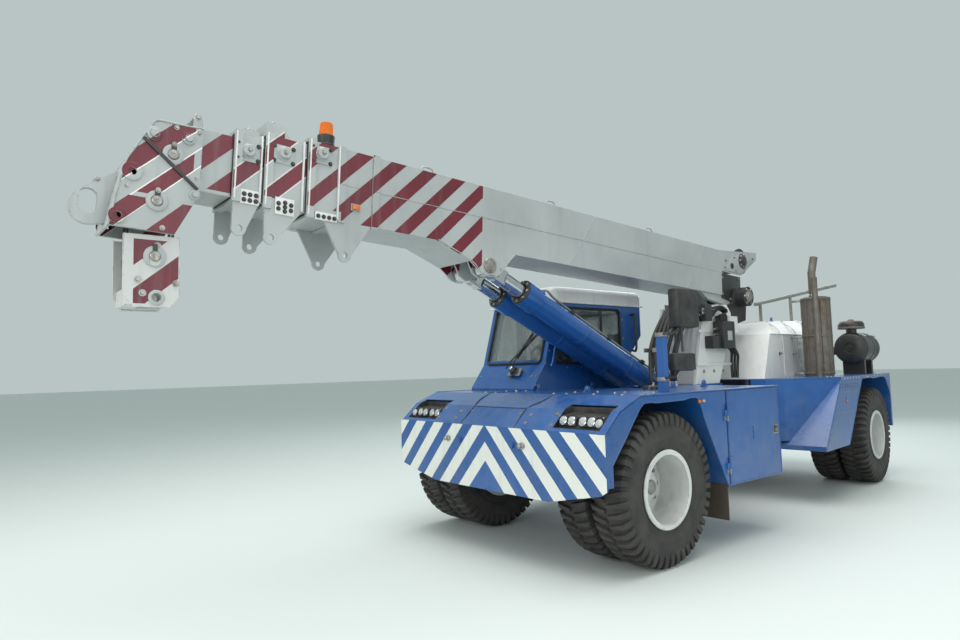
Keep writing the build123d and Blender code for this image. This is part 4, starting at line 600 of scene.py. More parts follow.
finishes = {
    "tyre": rubber("tyre_rubber", (0.02, 0.02, 0.021), dust=0.62),
    "hose": rubber("hose_rubber", (0.012, 0.012, 0.013), dust=0.22, rough=0.62, fine=160.0),
    "flap": rubber("mudflap_rubber", (0.085, 0.062, 0.045), dust=0.9, rough=0.9, fine=40.0, height=0.004),
    "seal": rubber("window_seal_rubber", (0.01, 0.01, 0.011), dust=0.18, rough=0.7, fine=120.0),
    "glass": window_glass("tinted_window_glass"),
    "lamp_body": moulded("black_lamp_plastic", (0.012, 0.012, 0.013), 0.3, 0.25),
    "plastic": moulded("black_moulded_plastic", (0.01, 0.01, 0.011), 0.46, 0.16),
    "orange": moulded("amber_lamp_plastic", (0.86, 0.2, 0.012), 0.16, 0.12, 60.0, clear=0.25),
    "red_lens": moulded("red_lamp_plastic", (0.55, 0.016, 0.012), 0.16, 0.12, 60.0, clear=0.2),
    "clear_lens": moulded("clear_lamp_lens", (0.62, 0.64, 0.64), 0.1, 0.14, 45.0, clear=0.35),
    "cloth": seat_cloth("seat_cloth", (0.03, 0.031, 0.036)),
    "chrome": metal("chromed_rod", (0.62, 0.63, 0.64), (0.3, 0.27, 0.22), 0.16, 0.15, (3, 3, 3), 1.0, 30.0),
    "steel": metal("worn_steel", (0.4, 0.39, 0.37), (0.13, 0.085, 0.055), 0.4, 0.55, None, 0.9),
    "cast": metal("grey_casting", (0.16, 0.16, 0.165), (0.085, 0.062, 0.045), 0.6, 0.7, None, 0.45, 90.0),
    "rope": rope_steel("wire_rope"),
    "exhaust": metal(
        "hot_exhaust_steel", (0.19, 0.175, 0.155), (0.12, 0.075, 0.045), 0.52, 0.75, (1, 1, 0.15), 0.65,
        30.0),
    "mirror_face": metal(
        "mirror_silver", (0.72, 0.74, 0.75), (0.45, 0.45, 0.44), 0.06, 0.05, None, 1.0, 4.0),
}
coats = paints | finishes
print("other finishes:", ", ".join(finishes))

# %% [markdown]
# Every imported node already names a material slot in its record, such as blue paint or wire rope. A
# table turns slots into the finishes made above, and a shorter table names the few nodes that carry a
# pattern of their own. The node's mesh is left alone: only the material in its slots changes.

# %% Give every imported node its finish
by_slot = {
    "blue_paint": "blue", "light_grey_paint": "grey", "white_paint": "white",
    "black_paint": "black", "frame_paint": "frame", "rim_paint": "rim",
    "tyre_rubber": "tyre", "hose_rubber": "hose", "flap_rubber": "flap",
    "glass_dark": "glass", "lamp_plastic": "lamp_body", "black_plastic": "plastic",
    "orange_plastic": "orange", "seat_fabric": "cloth", "chrome_rod": "chrome",
    "worn_steel": "steel", "cast_grey": "cast", "wire_rope": "rope",
    "exhaust_steel": "exhaust",
}
by_node = {
    "boom_base": "base_striped", "boom_section_2": "second_striped",
    "boom_section_3": "third_striped", "boom_head": "nose_striped",
    "boom_base_mouth": "base_striped", "boom_section_2_mouth": "second_striped",
    "boom_section_3_mouth": "third_striped", "boom_nose": "nose_striped",
    "front_fenders": "arches", "rear_sides": "arches",
    "hook_block": "hook_striped", "front_bumper": "chevron",
}
for part in frame["record"]["subparts"]:
    shell = frame["nodes"][part["node"]]
    chosen = coats[by_node.get(part["node"], by_slot[part["material_slot"]])]
    if not shell.material_slots:
        shell.data.materials.append(chosen)
    for place in shell.material_slots:
        place.material = chosen

# %% [markdown]
# Small fittings are cut from a few kinds of stock: blocks, plates, rods, turned parts and bent pipes.
# Blender has a primitive for some of these, but a bare primitive has knife edges that no real part has.
# The bench below keeps one mesh for each piece, and gives every block and plate a small rounded edge
# before it joins the rest. Each piece may carry several finishes, and can be mirrored as it is made.

# %% A bench for making fittings
def ring_points(radius, count, first=0.0):
    """Evenly spaced (across, up) steps round a circle."""
    turns = [first + 2 * math.pi * k / count for k in range(count)]
    return [(radius * math.cos(turn), radius * math.sin(turn)) for turn in turns]


def on_both_sides(spots, y):
    """Each (along, up) spot on the left and the right face, y out from the middle, looking outwards."""
    return [((a, sign * y, b), (0, sign, 0)) for a, b in spots for sign in (1, -1)]


def at_y(y, *spots):
    """Points for a pipe that stays at one distance from the middle, from (along, up) pairs."""
    return [(a, y, b) for a, b in spots]


def skin(part, one, two):
    """Faces between two rings that have the same number of corners."""
    for i in range(len(one)):
        j = (i + 1) % len(one)
        part.faces.new((one[i], one[j], two[j], two[i]))


def as_mesh(form, name):
    """Turns finished stock into a mesh and clears it off the bench."""
    shape = bpy.data.meshes.new(name)
    form.to_mesh(shape)
    form.free()
    return shape


def frozen(thing):
    """The mesh that an object's modifiers make of it now."""
    graph = bpy.context.evaluated_depsgraph_get()
    return bpy.data.meshes.new_from_object(thing.evaluated_get(graph))


def mm(*pairs):
    """Radius and distance pairs in metres, from millimetres."""
    return [(radius / 1000, reach / 1000) for radius, reach in pairs]


class Bench:
    """Collects stock for one piece, in one workshop's metres, and sends it to a body when it is done."""

    def __init__(self, name, body="front_chassis", shop=FRONT, slot="worn_steel"):
        self.name, self.body, self.shop, self.slot = name, body, shop, slot
        self.form = bmesh.new()
        self.finishes = []
        self.current = 0
        self.hand = 1

    def sides(self):
        """What is made inside this loop is made on the left, then mirrored to the right."""
        for self.hand in (1, -1):
            yield self.hand
        self.hand = 1

    def finish(self, name):
        """Takes up one finish by its name. Whatever is made next wears it."""
        material = coats[name]
        if material not in self.finishes:
            self.finishes.append(material)
        self.current = self.finishes.index(material)
        return self

    def keep(self, part, edge=0.0, place=None):
        rounded = part.faces
        if edge:
            sharp = [e for e in part.edges if len(e.link_faces) == 2 and e.calc_face_angle() > 0.5]
            cut = {"offset": edge, "segments": 2, "profile": 0.6, "affect": "EDGES", "clamp_overlap": True}
            rounded = bmesh.ops.bevel(part, geom=sharp, **cut)["faces"]
        rounded = set(rounded)
        if place:
            bmesh.ops.transform(part, matrix=place, verts=part.verts)
        bmesh.ops.scale(part, vec=(1, self.hand, 1), verts=part.verts)
        bmesh.ops.recalc_face_normals(part, faces=part.faces)
        for face in part.faces:
            face.material_index, face.smooth = self.current, face in rounded
        shape = as_mesh(part, "stock")
        self.form.from_mesh(shape)
        bpy.data.meshes.remove(shape)
        return self

    def block(self, low, high, edge=0.003, turn=None):
        part = bmesh.new()
        bmesh.ops.create_cube(part, size=1.0)
        size = [max(1e-4, b - a) for a, b in zip(low, high)]
        middle = Vector([(a + b) / 2 for a, b in zip(low, high)])
        bmesh.ops.transform(part, matrix=Matrix.Diagonal((*size, 1)), verts=part.verts)
        place = Matrix.Translation(middle) @ (turn.to_4x4() if turn else Matrix.Identity(4))
        return self.keep(part, min(edge, min(size) * 0.45), place)

    def lump(self, middle, size, edge=0.003, turn=None):
        """A block given by its middle and its size along each axis."""
        half = Vector(size) / 2
        return self.block(Vector(middle) - half, Vector(middle) + half, edge, turn)

    def turned(self, start, way, profile, sides=24, closed=False):
        """A lathe: profile is (radius, distance along way) pairs. A radius of 0 closes an end."""
        part = bmesh.new()
        lean = Vector(way).to_track_quat("Z", "Y").to_matrix().to_4x4()
        rings = []
        for radius, reach in profile:
            if radius < 1e-6:
                rings.append([part.verts.new((0, 0, reach))])
                continue
            rings.append([part.verts.new((x, y, reach)) for x, y in ring_points(radius, sides)])
        pairs = list(zip(rings, rings[1:])) + ([(rings[-1], rings[0])] if closed else [])
        for one, two in pairs:
            for i in range(sides):
                j = (i + 1) % sides
                corners = [one[i % len(one)], one[j % len(one)], two[j % len(two)], two[i % len(two)]]
                corners = [v for k, v in enumerate(corners) if v not in corners[:k]]
                if len(corners) > 2:
                    part.faces.new(corners)
        return self.keep(part, 0.0, Matrix.Translation(start) @ lean)

    def rod(self, start, end, radius, edge=0.002, sides=18, tip=None):
        way = Vector(end) - Vector(start)
        long, tip = way.length, radius if tip is None else tip
        edge = min(edge, long * 0.4, radius * 0.6)
        profile = [
            (0, 0), (radius - edge, 0), (radius, edge), (tip, long - edge), (max(tip - edge, 0.0005), long),
            (0, long)]
        return self.turned(start, way, profile, sides)

    def plate(self, outline, low, high, across="y", edge=0.003):
        """A flat outline cut from plate. across is the axis of its thickness, from low to high."""
        part = bmesh.new()
        axis = "xyz".index(across)
        under, over = [
            [part.verts.new((*spot[:axis], at, *spot[axis:])) for spot in outline] for at in (low, high)]
        part.faces.new(under)
        part.faces.new(list(reversed(over)))
        skin(part, under, over)
        bmesh.ops.recalc_face_normals(part, faces=part.faces)
        return self.keep(part, edge)

    def pipe(self, points, radius, sides=10, ribs=0.0):
        """A pipe or hose that is fixed along its whole run. It passes smoothly through every point."""
        marks = [Vector(p) for p in points]
        marks = [2 * marks[0] - marks[1]] + marks + [2 * marks[-1] - marks[-2]]
        line = []
        for a, b, c, d in zip(marks, marks[1:], marks[2:], marks[3:]):
            steps = max(3, min(12, int((c - b).length / (radius * 2.2))))
            for k in range(steps):
                t = k / steps
                bend = (2 * a - 5 * b + 4 * c - d) * t * t + (3 * b - a - 3 * c + d) * t ** 3
                line.append(0.5 * (2 * b + (c - a) * t + bend))
        line.append(marks[-2])
        part = bmesh.new()
        turn = (line[1] - line[0]).to_track_quat("Z", "Y")
        rings = []
        for k, spot in enumerate(line):
            ahead = line[min(k + 1, len(line) - 1)] - line[max(k - 1, 0)]
            turn = (turn @ Vector((0, 0, 1))).rotation_difference(ahead) @ turn
            size = radius * (1 + ribs * (k % 2))
            rings.append(
                [part.verts.new(spot + turn @ Vector((x, y, 0))) for x, y in ring_points(size, sides)])
        for one, two in zip(rings, rings[1:]):
            skin(part, one, two)
        part.faces.new(list(reversed(rings[0])))
        part.faces.new(rings[-1])
        return self.keep(part)

    def done(self, replaces=()):
        shape = as_mesh(self.form, self.name)
        shape.transform(self.shop)
        shape.set_sharp_from_angle(angle=0.6)
        for material in self.finishes:
            shape.materials.append(material)
        return send(stand(self.name, shape), self.body, self.slot, replaces)


def send(made, body, slot, replaces=()):
    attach(made, body)
    if replaces:
        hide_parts(*replaces)
    print(f"{made.name}: {len(made.data.polygons)} faces on {body}")
    return made


# %% [markdown]
# Bolts repeat by the hundred, so Geometry Nodes place them. The tree takes loose points that each carry
# a direction, and grows a washer and a six-sided head on every one. Its sizes are named inputs, so the
# same tree makes wheel nuts and small cover screws. The result is turned into a plain mesh.

# %% A tree that grows bolts on points
def geo(tree, kind, inputs=None, **settings):
    """The first output of a Geometry Nodes node."""
    return add_node(tree, "GeometryNode" + kind, inputs, **settings).outputs[0]


def joined(*shapes):
    """One geometry socket for several."""
    tree = shapes[0].id_data
    made = add_node(tree, "GeometryNodeJoinGeometry")
    for shape in shapes:
        tree.links.new(shape, made.inputs[0])
    return made.outputs[0]


def new_tree(name, inputs):
    """A tree with named inputs, given as (label, kind, value). It hands back their sockets too."""
    tree = bpy.data.node_groups.new(name, "GeometryNodeTree")
    tree.is_modifier = True
    tree.interface.new_socket("Geometry", in_out="INPUT", socket_type="NodeSocketGeometry")
    for label, kind, value in inputs:
        made = tree.interface.new_socket(label, in_out="INPUT", socket_type="NodeSocket" + kind)
        if value is not None:
            made.default_value = value
    tree.interface.new_socket("Geometry", in_out="OUTPUT", socket_type="NodeSocketGeometry")
    return tree, tree.nodes.new("NodeGroupInput").outputs


def close_tree(tree, geometry, finish):
    """Makes the instances real, gives them their finish and wires them to the output."""
    real = geo(tree, "RealizeInstances", {0: geometry})
    dressed = geo(tree, "SetMaterial", {"Geometry": real, "Material": finish})
    add_node(tree, "NodeGroupOutput", {0: dressed})


bolt_tree, given = new_tree(
    "hex_bolts",
    [
        ("Head radius", "Float", 0.012), ("Head height", "Float", 0.008), ("Washer radius", "Float", 0.017),
        ("Finish", "Material", None)])
washer_depth = times(given["Head height"], 0.3)
head_top = times(given["Head radius"], 0.84)
washer = geo(
    bolt_tree, "MeshCone",
    {
        "Vertices": 14, "Radius Top": given["Washer radius"], "Radius Bottom": given["Washer radius"],
        "Depth": washer_depth})
head = geo(
    bolt_tree, "MeshCone",
    {
        "Vertices": 6, "Radius Top": head_top, "Radius Bottom": given["Head radius"],
        "Depth": given["Head height"]})
lift = add_node(bolt_tree, "ShaderNodeCombineXYZ", {2: washer_depth}).outputs[0]
head = geo(bolt_tree, "Transform", {"Geometry": head, "Translation": lift})
bolt = joined(washer, head)
aim = geo(bolt_tree, "InputNamedAttribute", {"Name": "aim"}, data_type="FLOAT_VECTOR")
lean = add_node(bolt_tree, "FunctionNodeAlignRotationToVector", {"Vector": aim}, axis="Z").outputs[0]
grown = geo(
    bolt_tree, "InstanceOnPoints",
    {"Points": given["Geometry"], "Instance": bolt, "Rotation": lean})
close_tree(bolt_tree, grown, given["Finish"])
print("bolt tree:", len(bolt_tree.nodes), "nodes")


def grow(name, seed_mesh, tree, settings):
    """Runs a tree on a mesh and returns the plain mesh that it makes."""
    seed = stand(name, seed_mesh)
    modifier = seed.modifiers.new("grow", "NODES")
    modifier.node_group = tree
    for socket in tree.interface.items_tree:
        if socket.in_out == "INPUT" and socket.name in settings:
            modifier[socket.identifier] = settings[socket.name]
    seed.update_tag()
    made = frozen(seed)
    made.name = name
    bpy.data.objects.remove(seed)
    return made


def bolts(name, body, spots, shop=FRONT, size=(0.012, 0.009, 0.018), finish="steel"):
    """Bolts at (place, direction) pairs. size is head radius, head height and washer radius."""
    seed = bpy.data.meshes.new(name)
    seed.from_pydata([place for place, way in spots], [], [])
    aims = seed.attributes.new("aim", "FLOAT_VECTOR", "POINT")
    for value, (place, way) in zip(aims.data, spots):
        value.vector = way
    head, height, washer = size
    sizes = {"Head radius": head, "Head height": height, "Washer radius": washer, "Finish": coats[finish]}
    shape = grow(name, seed, bolt_tree, sizes)
    shape.transform(shop)
    return send(stand(name, shape), body, "worn_steel")


# %% [markdown]
# The tyres are the first thing the camera meets. Each is a heavy lugged casing: a smooth carcass with
# a bulging side, and chunky bars that start on the tread and wrap over the shoulder. The carcass is
# turned on the lathe. The bars repeat with a fixed pitch, so a second tree sets one pair of them round
# the wheel, the left bar half a pitch ahead of the right one, which is what makes the pattern bite.

# %% One lug pair and one carcass
LUGS = 46
TYRE = 0.56


def lug_bar(part, side, turn):
    """One bar: an outline across the tread and down the shoulder, given a width that widens outwards."""
    spin = Matrix.Rotation(turn, 4, "Y")
    inner, outer = 0.0125, 0.0225
    line = [
        (0.012, 0.528, 0.558), (0.06, 0.53, TYRE), (0.108, 0.528, 0.557), (0.132, 0.512, 0.54),
        (0.142, 0.478, 0.5), (0.1405, 0.452, 0.462)]
    rows = []
    for k, (y, low_r, high_r) in enumerate(line):
        half = inner + (outer - inner) * min(1.0, k / 3)
        skew = 0.02 * (1.0 - k / 2.5) if k < 3 else 0.0
        rim_y = y + (0.004 if k > 2 else 0.0)
        tall = [
            (skew - half, low_r, y - 0.006), (skew - half * 0.86, high_r, rim_y),
            (skew + half * 0.86, high_r, rim_y), (skew + half, low_r, y - 0.006)]
        rows.append([part.verts.new(spin @ Vector((x, side * w, r))) for x, r, w in tall])
    for one, two in zip(rows, rows[1:]):
        skin(part, one, two)
    part.faces.new(rows[0])
    part.faces.new(rows[-1])


lugs = bmesh.new()
lug_bar(lugs, 1, 0.0)
lug_bar(lugs, -1, math.pi / LUGS)
bmesh.ops.recalc_face_normals(lugs, faces=lugs.faces)
lug_mesh = as_mesh(lugs, "lug_pair")
lug_pair = stand("lug_pair", lug_mesh)

half_profile = mm(
    (287, 100), (283, 112), (290, 122), (312, 124), (318, 129), (326, 129), (332, 127), (365, 137),
    (372, 140), (379, 139), (410, 142.5), (436, 142.5), (448, 140.5), (490, 132), (520, 118), (532, 90),
    (534.5, 40))
profile = half_profile + [(r, -y) for r, y in reversed(half_profile)]
carcass = Bench("tyre_carcass")
carcass.finish("tyre").turned((0, 0, 0), LEFT, profile, sides=96, closed=True)
carcass_mesh = as_mesh(carcass.form, "tyre_carcass")
print("lug faces:", len(lug_mesh.polygons), "carcass faces:", len(carcass_mesh.polygons))

# %% A tree that sets the lugs round the carcass
lug_tree, given = new_tree(
    "tyre_lugs", [("Lug pair", "Object", None), ("Lugs round", "Int", LUGS), ("Finish", "Material", None)])
line_points = geo(lug_tree, "MeshLine", {"Count": given["Lugs round"], "Offset": (0, 0, 0)})
pair = add_node(lug_tree, "GeometryNodeObjectInfo", {"Object": given["Lug pair"]}).outputs["Geometry"]
number = geo(lug_tree, "InputIndex")
part_turn = sums("DIVIDE", number, given["Lugs round"])
full_turn = times(part_turn, 2 * math.pi)
spin = add_node(lug_tree, "ShaderNodeCombineXYZ", {1: full_turn}).outputs[0]
bars = geo(lug_tree, "InstanceOnPoints", {"Points": line_points, "Instance": pair, "Rotation": spin})
close_tree(lug_tree, joined(given["Geometry"], bars), given["Finish"])
tyre_mesh = grow(
    "tyre", carcass_mesh, lug_tree, {"Lug pair": lug_pair, "Lugs round": LUGS, "Finish": finishes["tyre"]})
bpy.data.objects.remove(lug_pair)
tyre_mesh.set_sharp_from_angle(angle=0.5)
print("one tyre:", len(tyre_mesh.polygons), "faces")

# %% [markdown]
# Every corner carries twin tyres on one hub, and each pair is one body that rolls. Two tyre meshes are
# joined for each corner, set on its axle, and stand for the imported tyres, which stay as collision.

# %% Twin tyres, wheel nuts and a valve on every corner
TWINS = (0.753, 1.083)
for end, shop in (("front", FRONT), ("rear", REAR)):
    for side, sign in (("left", 1), ("right", -1)):
        body = f"{end}_{side}_wheel"
        hub = Vector(joint[f"{end}_{side}_spin"]["pos_m"])
        turn = Matrix.Translation((hub.x, hub.y, 0)) @ (
            Matrix.Rotation(STEERED, 4, "Z") if end == "rear" else Matrix.Identity(4))
        twins = bmesh.new()
        for y in TWINS:
            one = tyre_mesh.copy()
            one.transform(
                Matrix.Translation((0, sign * y, hub.z)) @ Matrix.Rotation(0.21 * y + sign, 4, "Y"))
            twins.from_mesh(one)
        shape = tyre_mesh.copy()
        twins.to_mesh(shape)
        twins.free()
        shape.transform(turn)
        shape.name = f"{end}_{side}_tyre_pair"
        send(stand(shape.name, shape), body, "tyre_rubber", [f"{end}_{side}_tyres"])
        face = sign * 0.962
        nuts = [((x, face, hub.z + z), (0, sign, 0)) for x, z in ring_points(0.1675, 10)]
        bolts(f"{end}_{side}_wheel_nuts", body, nuts, turn, (0.019, 0.026, 0.024))
        trim = Bench(f"{end}_{side}_rim_trim", body, turn, "rim_paint").finish("rim")
        way = (0, sign, 0)
        trim.turned(
            (0, sign * 1.197, hub.z), way,
            mm((251.5, 0), (262, 4), (283, 10), (287, 18), (283, 26), (272, 27.5), (262, 22), (251.5, 15)),
            64, closed=True)
        trim.turned((0, sign * 0.963, hub.z), way, mm((205, 0), (212, 4), (224, 4), (231, 0)), 48)
        trim.finish("steel").turned(
            (0, sign * 1.062, hub.z), way, mm((52, 0), (56, 4), (50, 12), (30, 16), (0, 17)), 24)
        trim.rod((0.222, sign * 0.962, hub.z), (0.232, sign * 1.03, hub.z), 0.006, tip=0.005, sides=10)
        trim.done()

# %% [markdown]
# The nose deck slopes down to the bumper, and its two black recesses hold the lamps. A road lamp is a
# bright bowl behind a clear cover, set in a dark bezel, so each one is turned on the lathe and tilted
# to the slope. The outer marker sits beside the recess on its own black plate. Fine seams, bolts and
# two towing eyes break up the wide painted faces.

# %% Headlamps and markers in the nose recesses
SLOPE = Matrix.Rotation(math.radians(-22.1), 3, "Y")
lamp_way = SLOPE @ Vector((1, 0, 0))
lamps = Bench("nose_lamp_sets", slot="lamp_plastic")
for sign in lamps.sides():
    for y in (0.785, 0.865, 0.97, 1.05):
        middle = Vector((0.5925, y, 1.072)) + 0.012 * lamp_way
        lamps.finish("lamp_body").lump(middle, (0.024, 0.078, 0.072), 0.006, SLOPE)
        lamps.finish("chrome").turned(
            middle + 0.011 * lamp_way, lamp_way,
            mm((33, 0), (34, 4), (30, 6), (26, 3.5), (12, -1), (0, -2)), 24)
        lamps.finish("clear_lens").turned(
            middle + 0.014 * lamp_way, lamp_way, mm((29.5, 0), (29, 3), (20, 8), (9, 10.5), (0, 11)), 24)
    outer = Vector((0.622, 1.128, 1.072))
    lamps.finish("lamp_body").lump(
        (0.567, 1.145 - 0.003 * sign, 1.0755), (0.014, 0.05, 0.085), 0.004, SLOPE)
    lamps.finish("clear_lens").turned(
        outer + 0.004 * lamp_way, lamp_way, mm((30, 0), (30, 6), (22, 13), (10, 16), (0, 16.5)), 24)
    lamps.finish("steel")
    for y in (0.745, 1.155):
        lamps.rod((0.606, y, 1.11), Vector((0.606, y, 1.11)) + 0.008 * lamp_way, 0.008, sides=6)
lamps.done()

# %% Seams, hatch, bolts and towing eyes on the nose
def on_slope(y, x):
    """A point on the sloping nose plate, for a distance forward of the axle."""
    return Vector((x, y, 1.155 - (x - 0.537) * 0.9006))


slope_out = Vector((0.669, 0, 0.743))
seams = Bench("nose_seams", slot="black_plastic").finish("seal")
for _ in seams.sides():
    seams.pipe(
        [
            (0.3, 0.4, 1.2502), (0.43, 0.385, 1.2015),
            on_slope(0.33, 0.545) + 0.0005 * slope_out, on_slope(0.335, 0.69)], 0.0032, 6)
seams.pipe([on_slope(-0.33, 0.545), on_slope(0, 0.5455), on_slope(0.33, 0.545)], 0.0032, 6)
for _ in seams.sides():
    seams.pipe([(-0.1, 0.42, 1.2502), (0.12, 0.42, 1.2502), (0.3, 0.4, 1.2502)], 0.003, 6)
seams.done()
nose_bolts = [
    (on_slope(y, x), slope_out)
    for y, x in (
            (-0.453, 0.593), (-0.451, 0.655), (0.425, 0.593), (0.425, 0.655), (-0.7, 0.658), (-0.69, 0.576),
            (0.7, 0.658), (0.69, 0.576), (-0.3, 0.585), (0.3, 0.585))]
nose_bolts += [((x, y, 1.25), UP) for x in (0.27, 0.02, -0.1) for y in (-0.5, -0.36, 0.36, 0.5, 0.78, 1.05)]
bolts("nose_bolts", "front_chassis", nose_bolts, size=(0.011, 0.007, 0.017))
eyes = Bench("towing_eyes")
for y in (0.44, -0.49):
    eyes.finish("steel").plate(
        [(y - 0.03, 0.868), (y + 0.03, 0.868), (y + 0.03, 0.898), (y - 0.03, 0.898)], 0.709, 0.716, "x",
        0.002)
    eyes.turned(
        (0.7161, y, 0.883), AHEAD,
        mm((16, 0), (16, 4), (11, 8), (11, 24), (18, 27), (19, 34), (12, 39), (0, 40)), 20)
    eyes.finish("grey").turned(
        (0.7162, y, 0.883), AHEAD, mm((26.2, 0), (26.2, 3), (17.5, 4.5), (16.5, 0)), 24)
eyes.done()
bumper_rim = Bench("bumper_rim", slot="blue_paint").finish("blue")
bumper_rim.pipe(
    [(0.694, -1.238, 1.006), (0.694, -0.4, 1.0075), (0.694, 0.4, 1.0075), (0.694, 1.238, 1.006)], 0.0075, 8)
bumper_rim.done()

# %% [markdown]
# Lifting eyes, a filler cap and a deck plate stand on the flat deck. They are small, but they catch the
# light on an otherwise empty surface, and they tell the eye how large the machine is.

# %% Lifting eyes and small deck furniture
deck = Bench("deck_fittings", slot="blue_paint")
for x, y in ((-0.177, -0.262), (-0.907, -0.262), (0.16, 0.62), (-0.98, 0.62), (-1.35, 0.7)):
    deck.finish("blue").lump((x, y, 1.255), (0.07, 0.04, 0.01))
    deck.plate(
        [
            (x - 0.03, 1.259), (x + 0.03, 1.259), (x + 0.028, 1.292), (x + 0.012, 1.312),
            (x - 0.012, 1.312), (x - 0.028, 1.292)], y - 0.006, y + 0.006, "y", 0.002)
    deck.finish("steel").turned(
        (x, y - 0.0075, 1.289), LEFT, mm((10, 0), (14, 2), (14, 13), (10, 15)), 14, closed=True)
deck.finish("black").turned(
    (-0.55, 0.7, 1.2501), UP, mm((75, 0), (75, 6), (58, 8), (56, 30), (50, 36), (0, 38)), 28)
deck.finish("plastic")
for x, y in ring_points(0.055, 8):
    deck.lump((x - 0.55, y + 0.7, 1.27), (0.016, 0.016, 0.022))
deck.finish("blue").plate(
    [(-1.62, -0.2), (-1.16, -0.2), (-1.16, 0.2), (-1.62, 0.2)], 1.2502, 1.2585, "z", 0.003)
deck.done()

# %% [markdown]
# The cab's glass sits in black rubber, and the wiper motor is bolted low on the screen's sill with two
# long arms that park across the glass. Rubber seals are pipes that follow each window's corners. The
# arms are thin black rods, and each carries a rubber blade on a sprung bow.

# %% Window seals, wipers, gutters and grab bars on the cab
cab = Bench("cab_seals", slot="black_plastic").finish("seal")


def seal(bench, corners, radius=0.011, corner=0.03):
    """A bead round one window or lid: straight sides and small round corners."""
    spots = [Vector(c) for c in corners]
    line = []
    for k, spot in enumerate(spots):
        before, after = spots[k - 1], spots[(k + 1) % len(spots)]
        line += [spot + (before - spot).normalized() * corner, spot + (after - spot).normalized() * corner]
    line = [
        v for a, b in zip(line[1::2], line[2::2] + line[:1])
        for v in (a, a.lerp(b, 0.08), a.lerp(b, 0.92), b)]
    bench.pipe(line + [line[0]], radius, 8)


seal(cab, [(-0.295, -1.15, 1.51), (-0.295, -0.365, 1.51), (-0.458, -0.365, 2.072), (-0.458, -1.15, 2.072)])
seal(cab, [(-0.44, -0.297, 1.5), (-0.59, -0.297, 2.045), (-1.42, -0.297, 2.045), (-1.42, -0.297, 1.5)])
seal(cab, [(-1.773, -1.105, 1.81), (-1.773, -0.41, 1.81), (-1.773, -0.41, 2.045), (-1.773, -1.105, 2.045)])
cab.finish("plastic").block((-1.135, -0.303, 1.5), (-1.105, -0.2925, 2.045), 0.004)
cab.done()
screen_out = Vector((0.961, 0, 0.277))
wiper = Bench("screen_wipers", slot="black_plastic")
motor = Vector((-0.204, -0.636, 1.436))
sill_out = Vector((0.804, 0, 0.594))
wiper.finish("plastic").turned(
    motor - 0.016 * sill_out, sill_out, mm((50, 0), (50, 14), (38, 20), (36, 50), (26, 58), (0, 60)), 24)
wiper.finish("chrome").turned(
    motor + 0.044 * sill_out, sill_out, mm((19.5, 0), (19.5, 12), (12, 18), (0, 19)), 18)
wiper.finish("steel").lump(
    (motor.x - 0.011, motor.y, motor.z - 0.0125), (0.018, 0.17, 0.085), 0.005,
    Matrix.Rotation(math.radians(-36), 3, "Y"))
for shift, far in ((0.0, (-0.42, -0.43, 1.905)), (-0.075, (-0.405, -0.35, 1.86))):
    pivot = motor + Vector((0, shift, 0)) + 0.046 * sill_out
    far = Vector(far) + 0.03 * screen_out
    knee = pivot.lerp(far, 0.42) + 0.018 * screen_out
    wiper.finish("plastic").pipe(
        [pivot, pivot.lerp(knee, 0.5) + 0.01 * screen_out, knee, knee.lerp(far, 0.5)], 0.0065, 8)
    along_blade = (far - pivot).normalized()
    centre = knee.lerp(far, 0.5)
    spring = [centre + t * along_blade for t in (-0.26, 0, 0.26)]
    lift = (-0.006, 0.004, -0.006)
    wiper.pipe([spot + out * screen_out for spot, out in zip(spring, lift)], 0.0055, 6)
    rubber_edge = [centre + t * along_blade - 0.016 * screen_out for t in (-0.28, 0, 0.28)]
    wiper.finish("seal").pipe(rubber_edge, 0.006, 6)
    for t in (-0.17, 0.0, 0.17):
        wiper.finish("plastic").rod(
            centre + t * along_blade - 0.015 * screen_out, centre + t * along_blade + 0.006 * screen_out,
            0.006, sides=8)
wiper.done()
trim = Bench("cab_trim", slot="blue_paint").finish("white")
trim.pipe([(-0.425, -1.236, 2.094), (-0.425, -0.75, 2.094), (-0.425, -0.281, 2.094)], 0.009, 8)
trim.pipe(at_y(-0.281, (-0.43, 2.094), (-1.1, 2.094), (-1.79, 2.094)), 0.009, 8)
trim.finish("blue")
trim.pipe(
    [(-0.36, -0.296, 1.498), (-0.36, -0.262, 1.52), (-0.5, -0.262, 2.02), (-0.5, -0.296, 2.04)], 0.01, 10)
trim.finish("black")
trim.pipe(
    [(-1.62, -0.298, 1.62), (-1.62, -0.25, 1.64), (-1.62, -0.25, 1.98), (-1.62, -0.298, 2.0)], 0.013, 10)
trim.pipe(
    [(-0.78, -1.217, 1.5), (-0.78, -1.238, 1.53), (-0.7, -1.238, 1.95), (-0.7, -1.217, 1.98)], 0.0065, 8)
trim.done()
cab_bolts = [
    ((x, -0.2995, z), LEFT)
    for x, z in (
            (-0.3, 1.505), (-0.36, 1.62), (-0.4, 1.76), (-0.45, 1.92), (-0.2, 1.4), (-0.165, 1.3),
            (-1.46, 1.55), (-1.46, 1.75), (-1.46, 1.95), (-0.6, 1.46), (-0.8, 1.46), (-1.0, 1.46),
            (-1.2, 1.46))]
cab_bolts += [((-0.215, y, 1.385), sill_out) for y in (-1.15, -0.95, -0.4, -0.34)]
bolts("cab_bolts", "front_chassis", cab_bolts, size=(0.009, 0.006, 0.014))

# %% [markdown]
# The mirrors are pressed plastic shells with round corners and a silver face that looks back past the
# tyres. They clamp to U brackets on a blue post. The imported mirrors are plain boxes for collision, so
# softer shells stand for them.

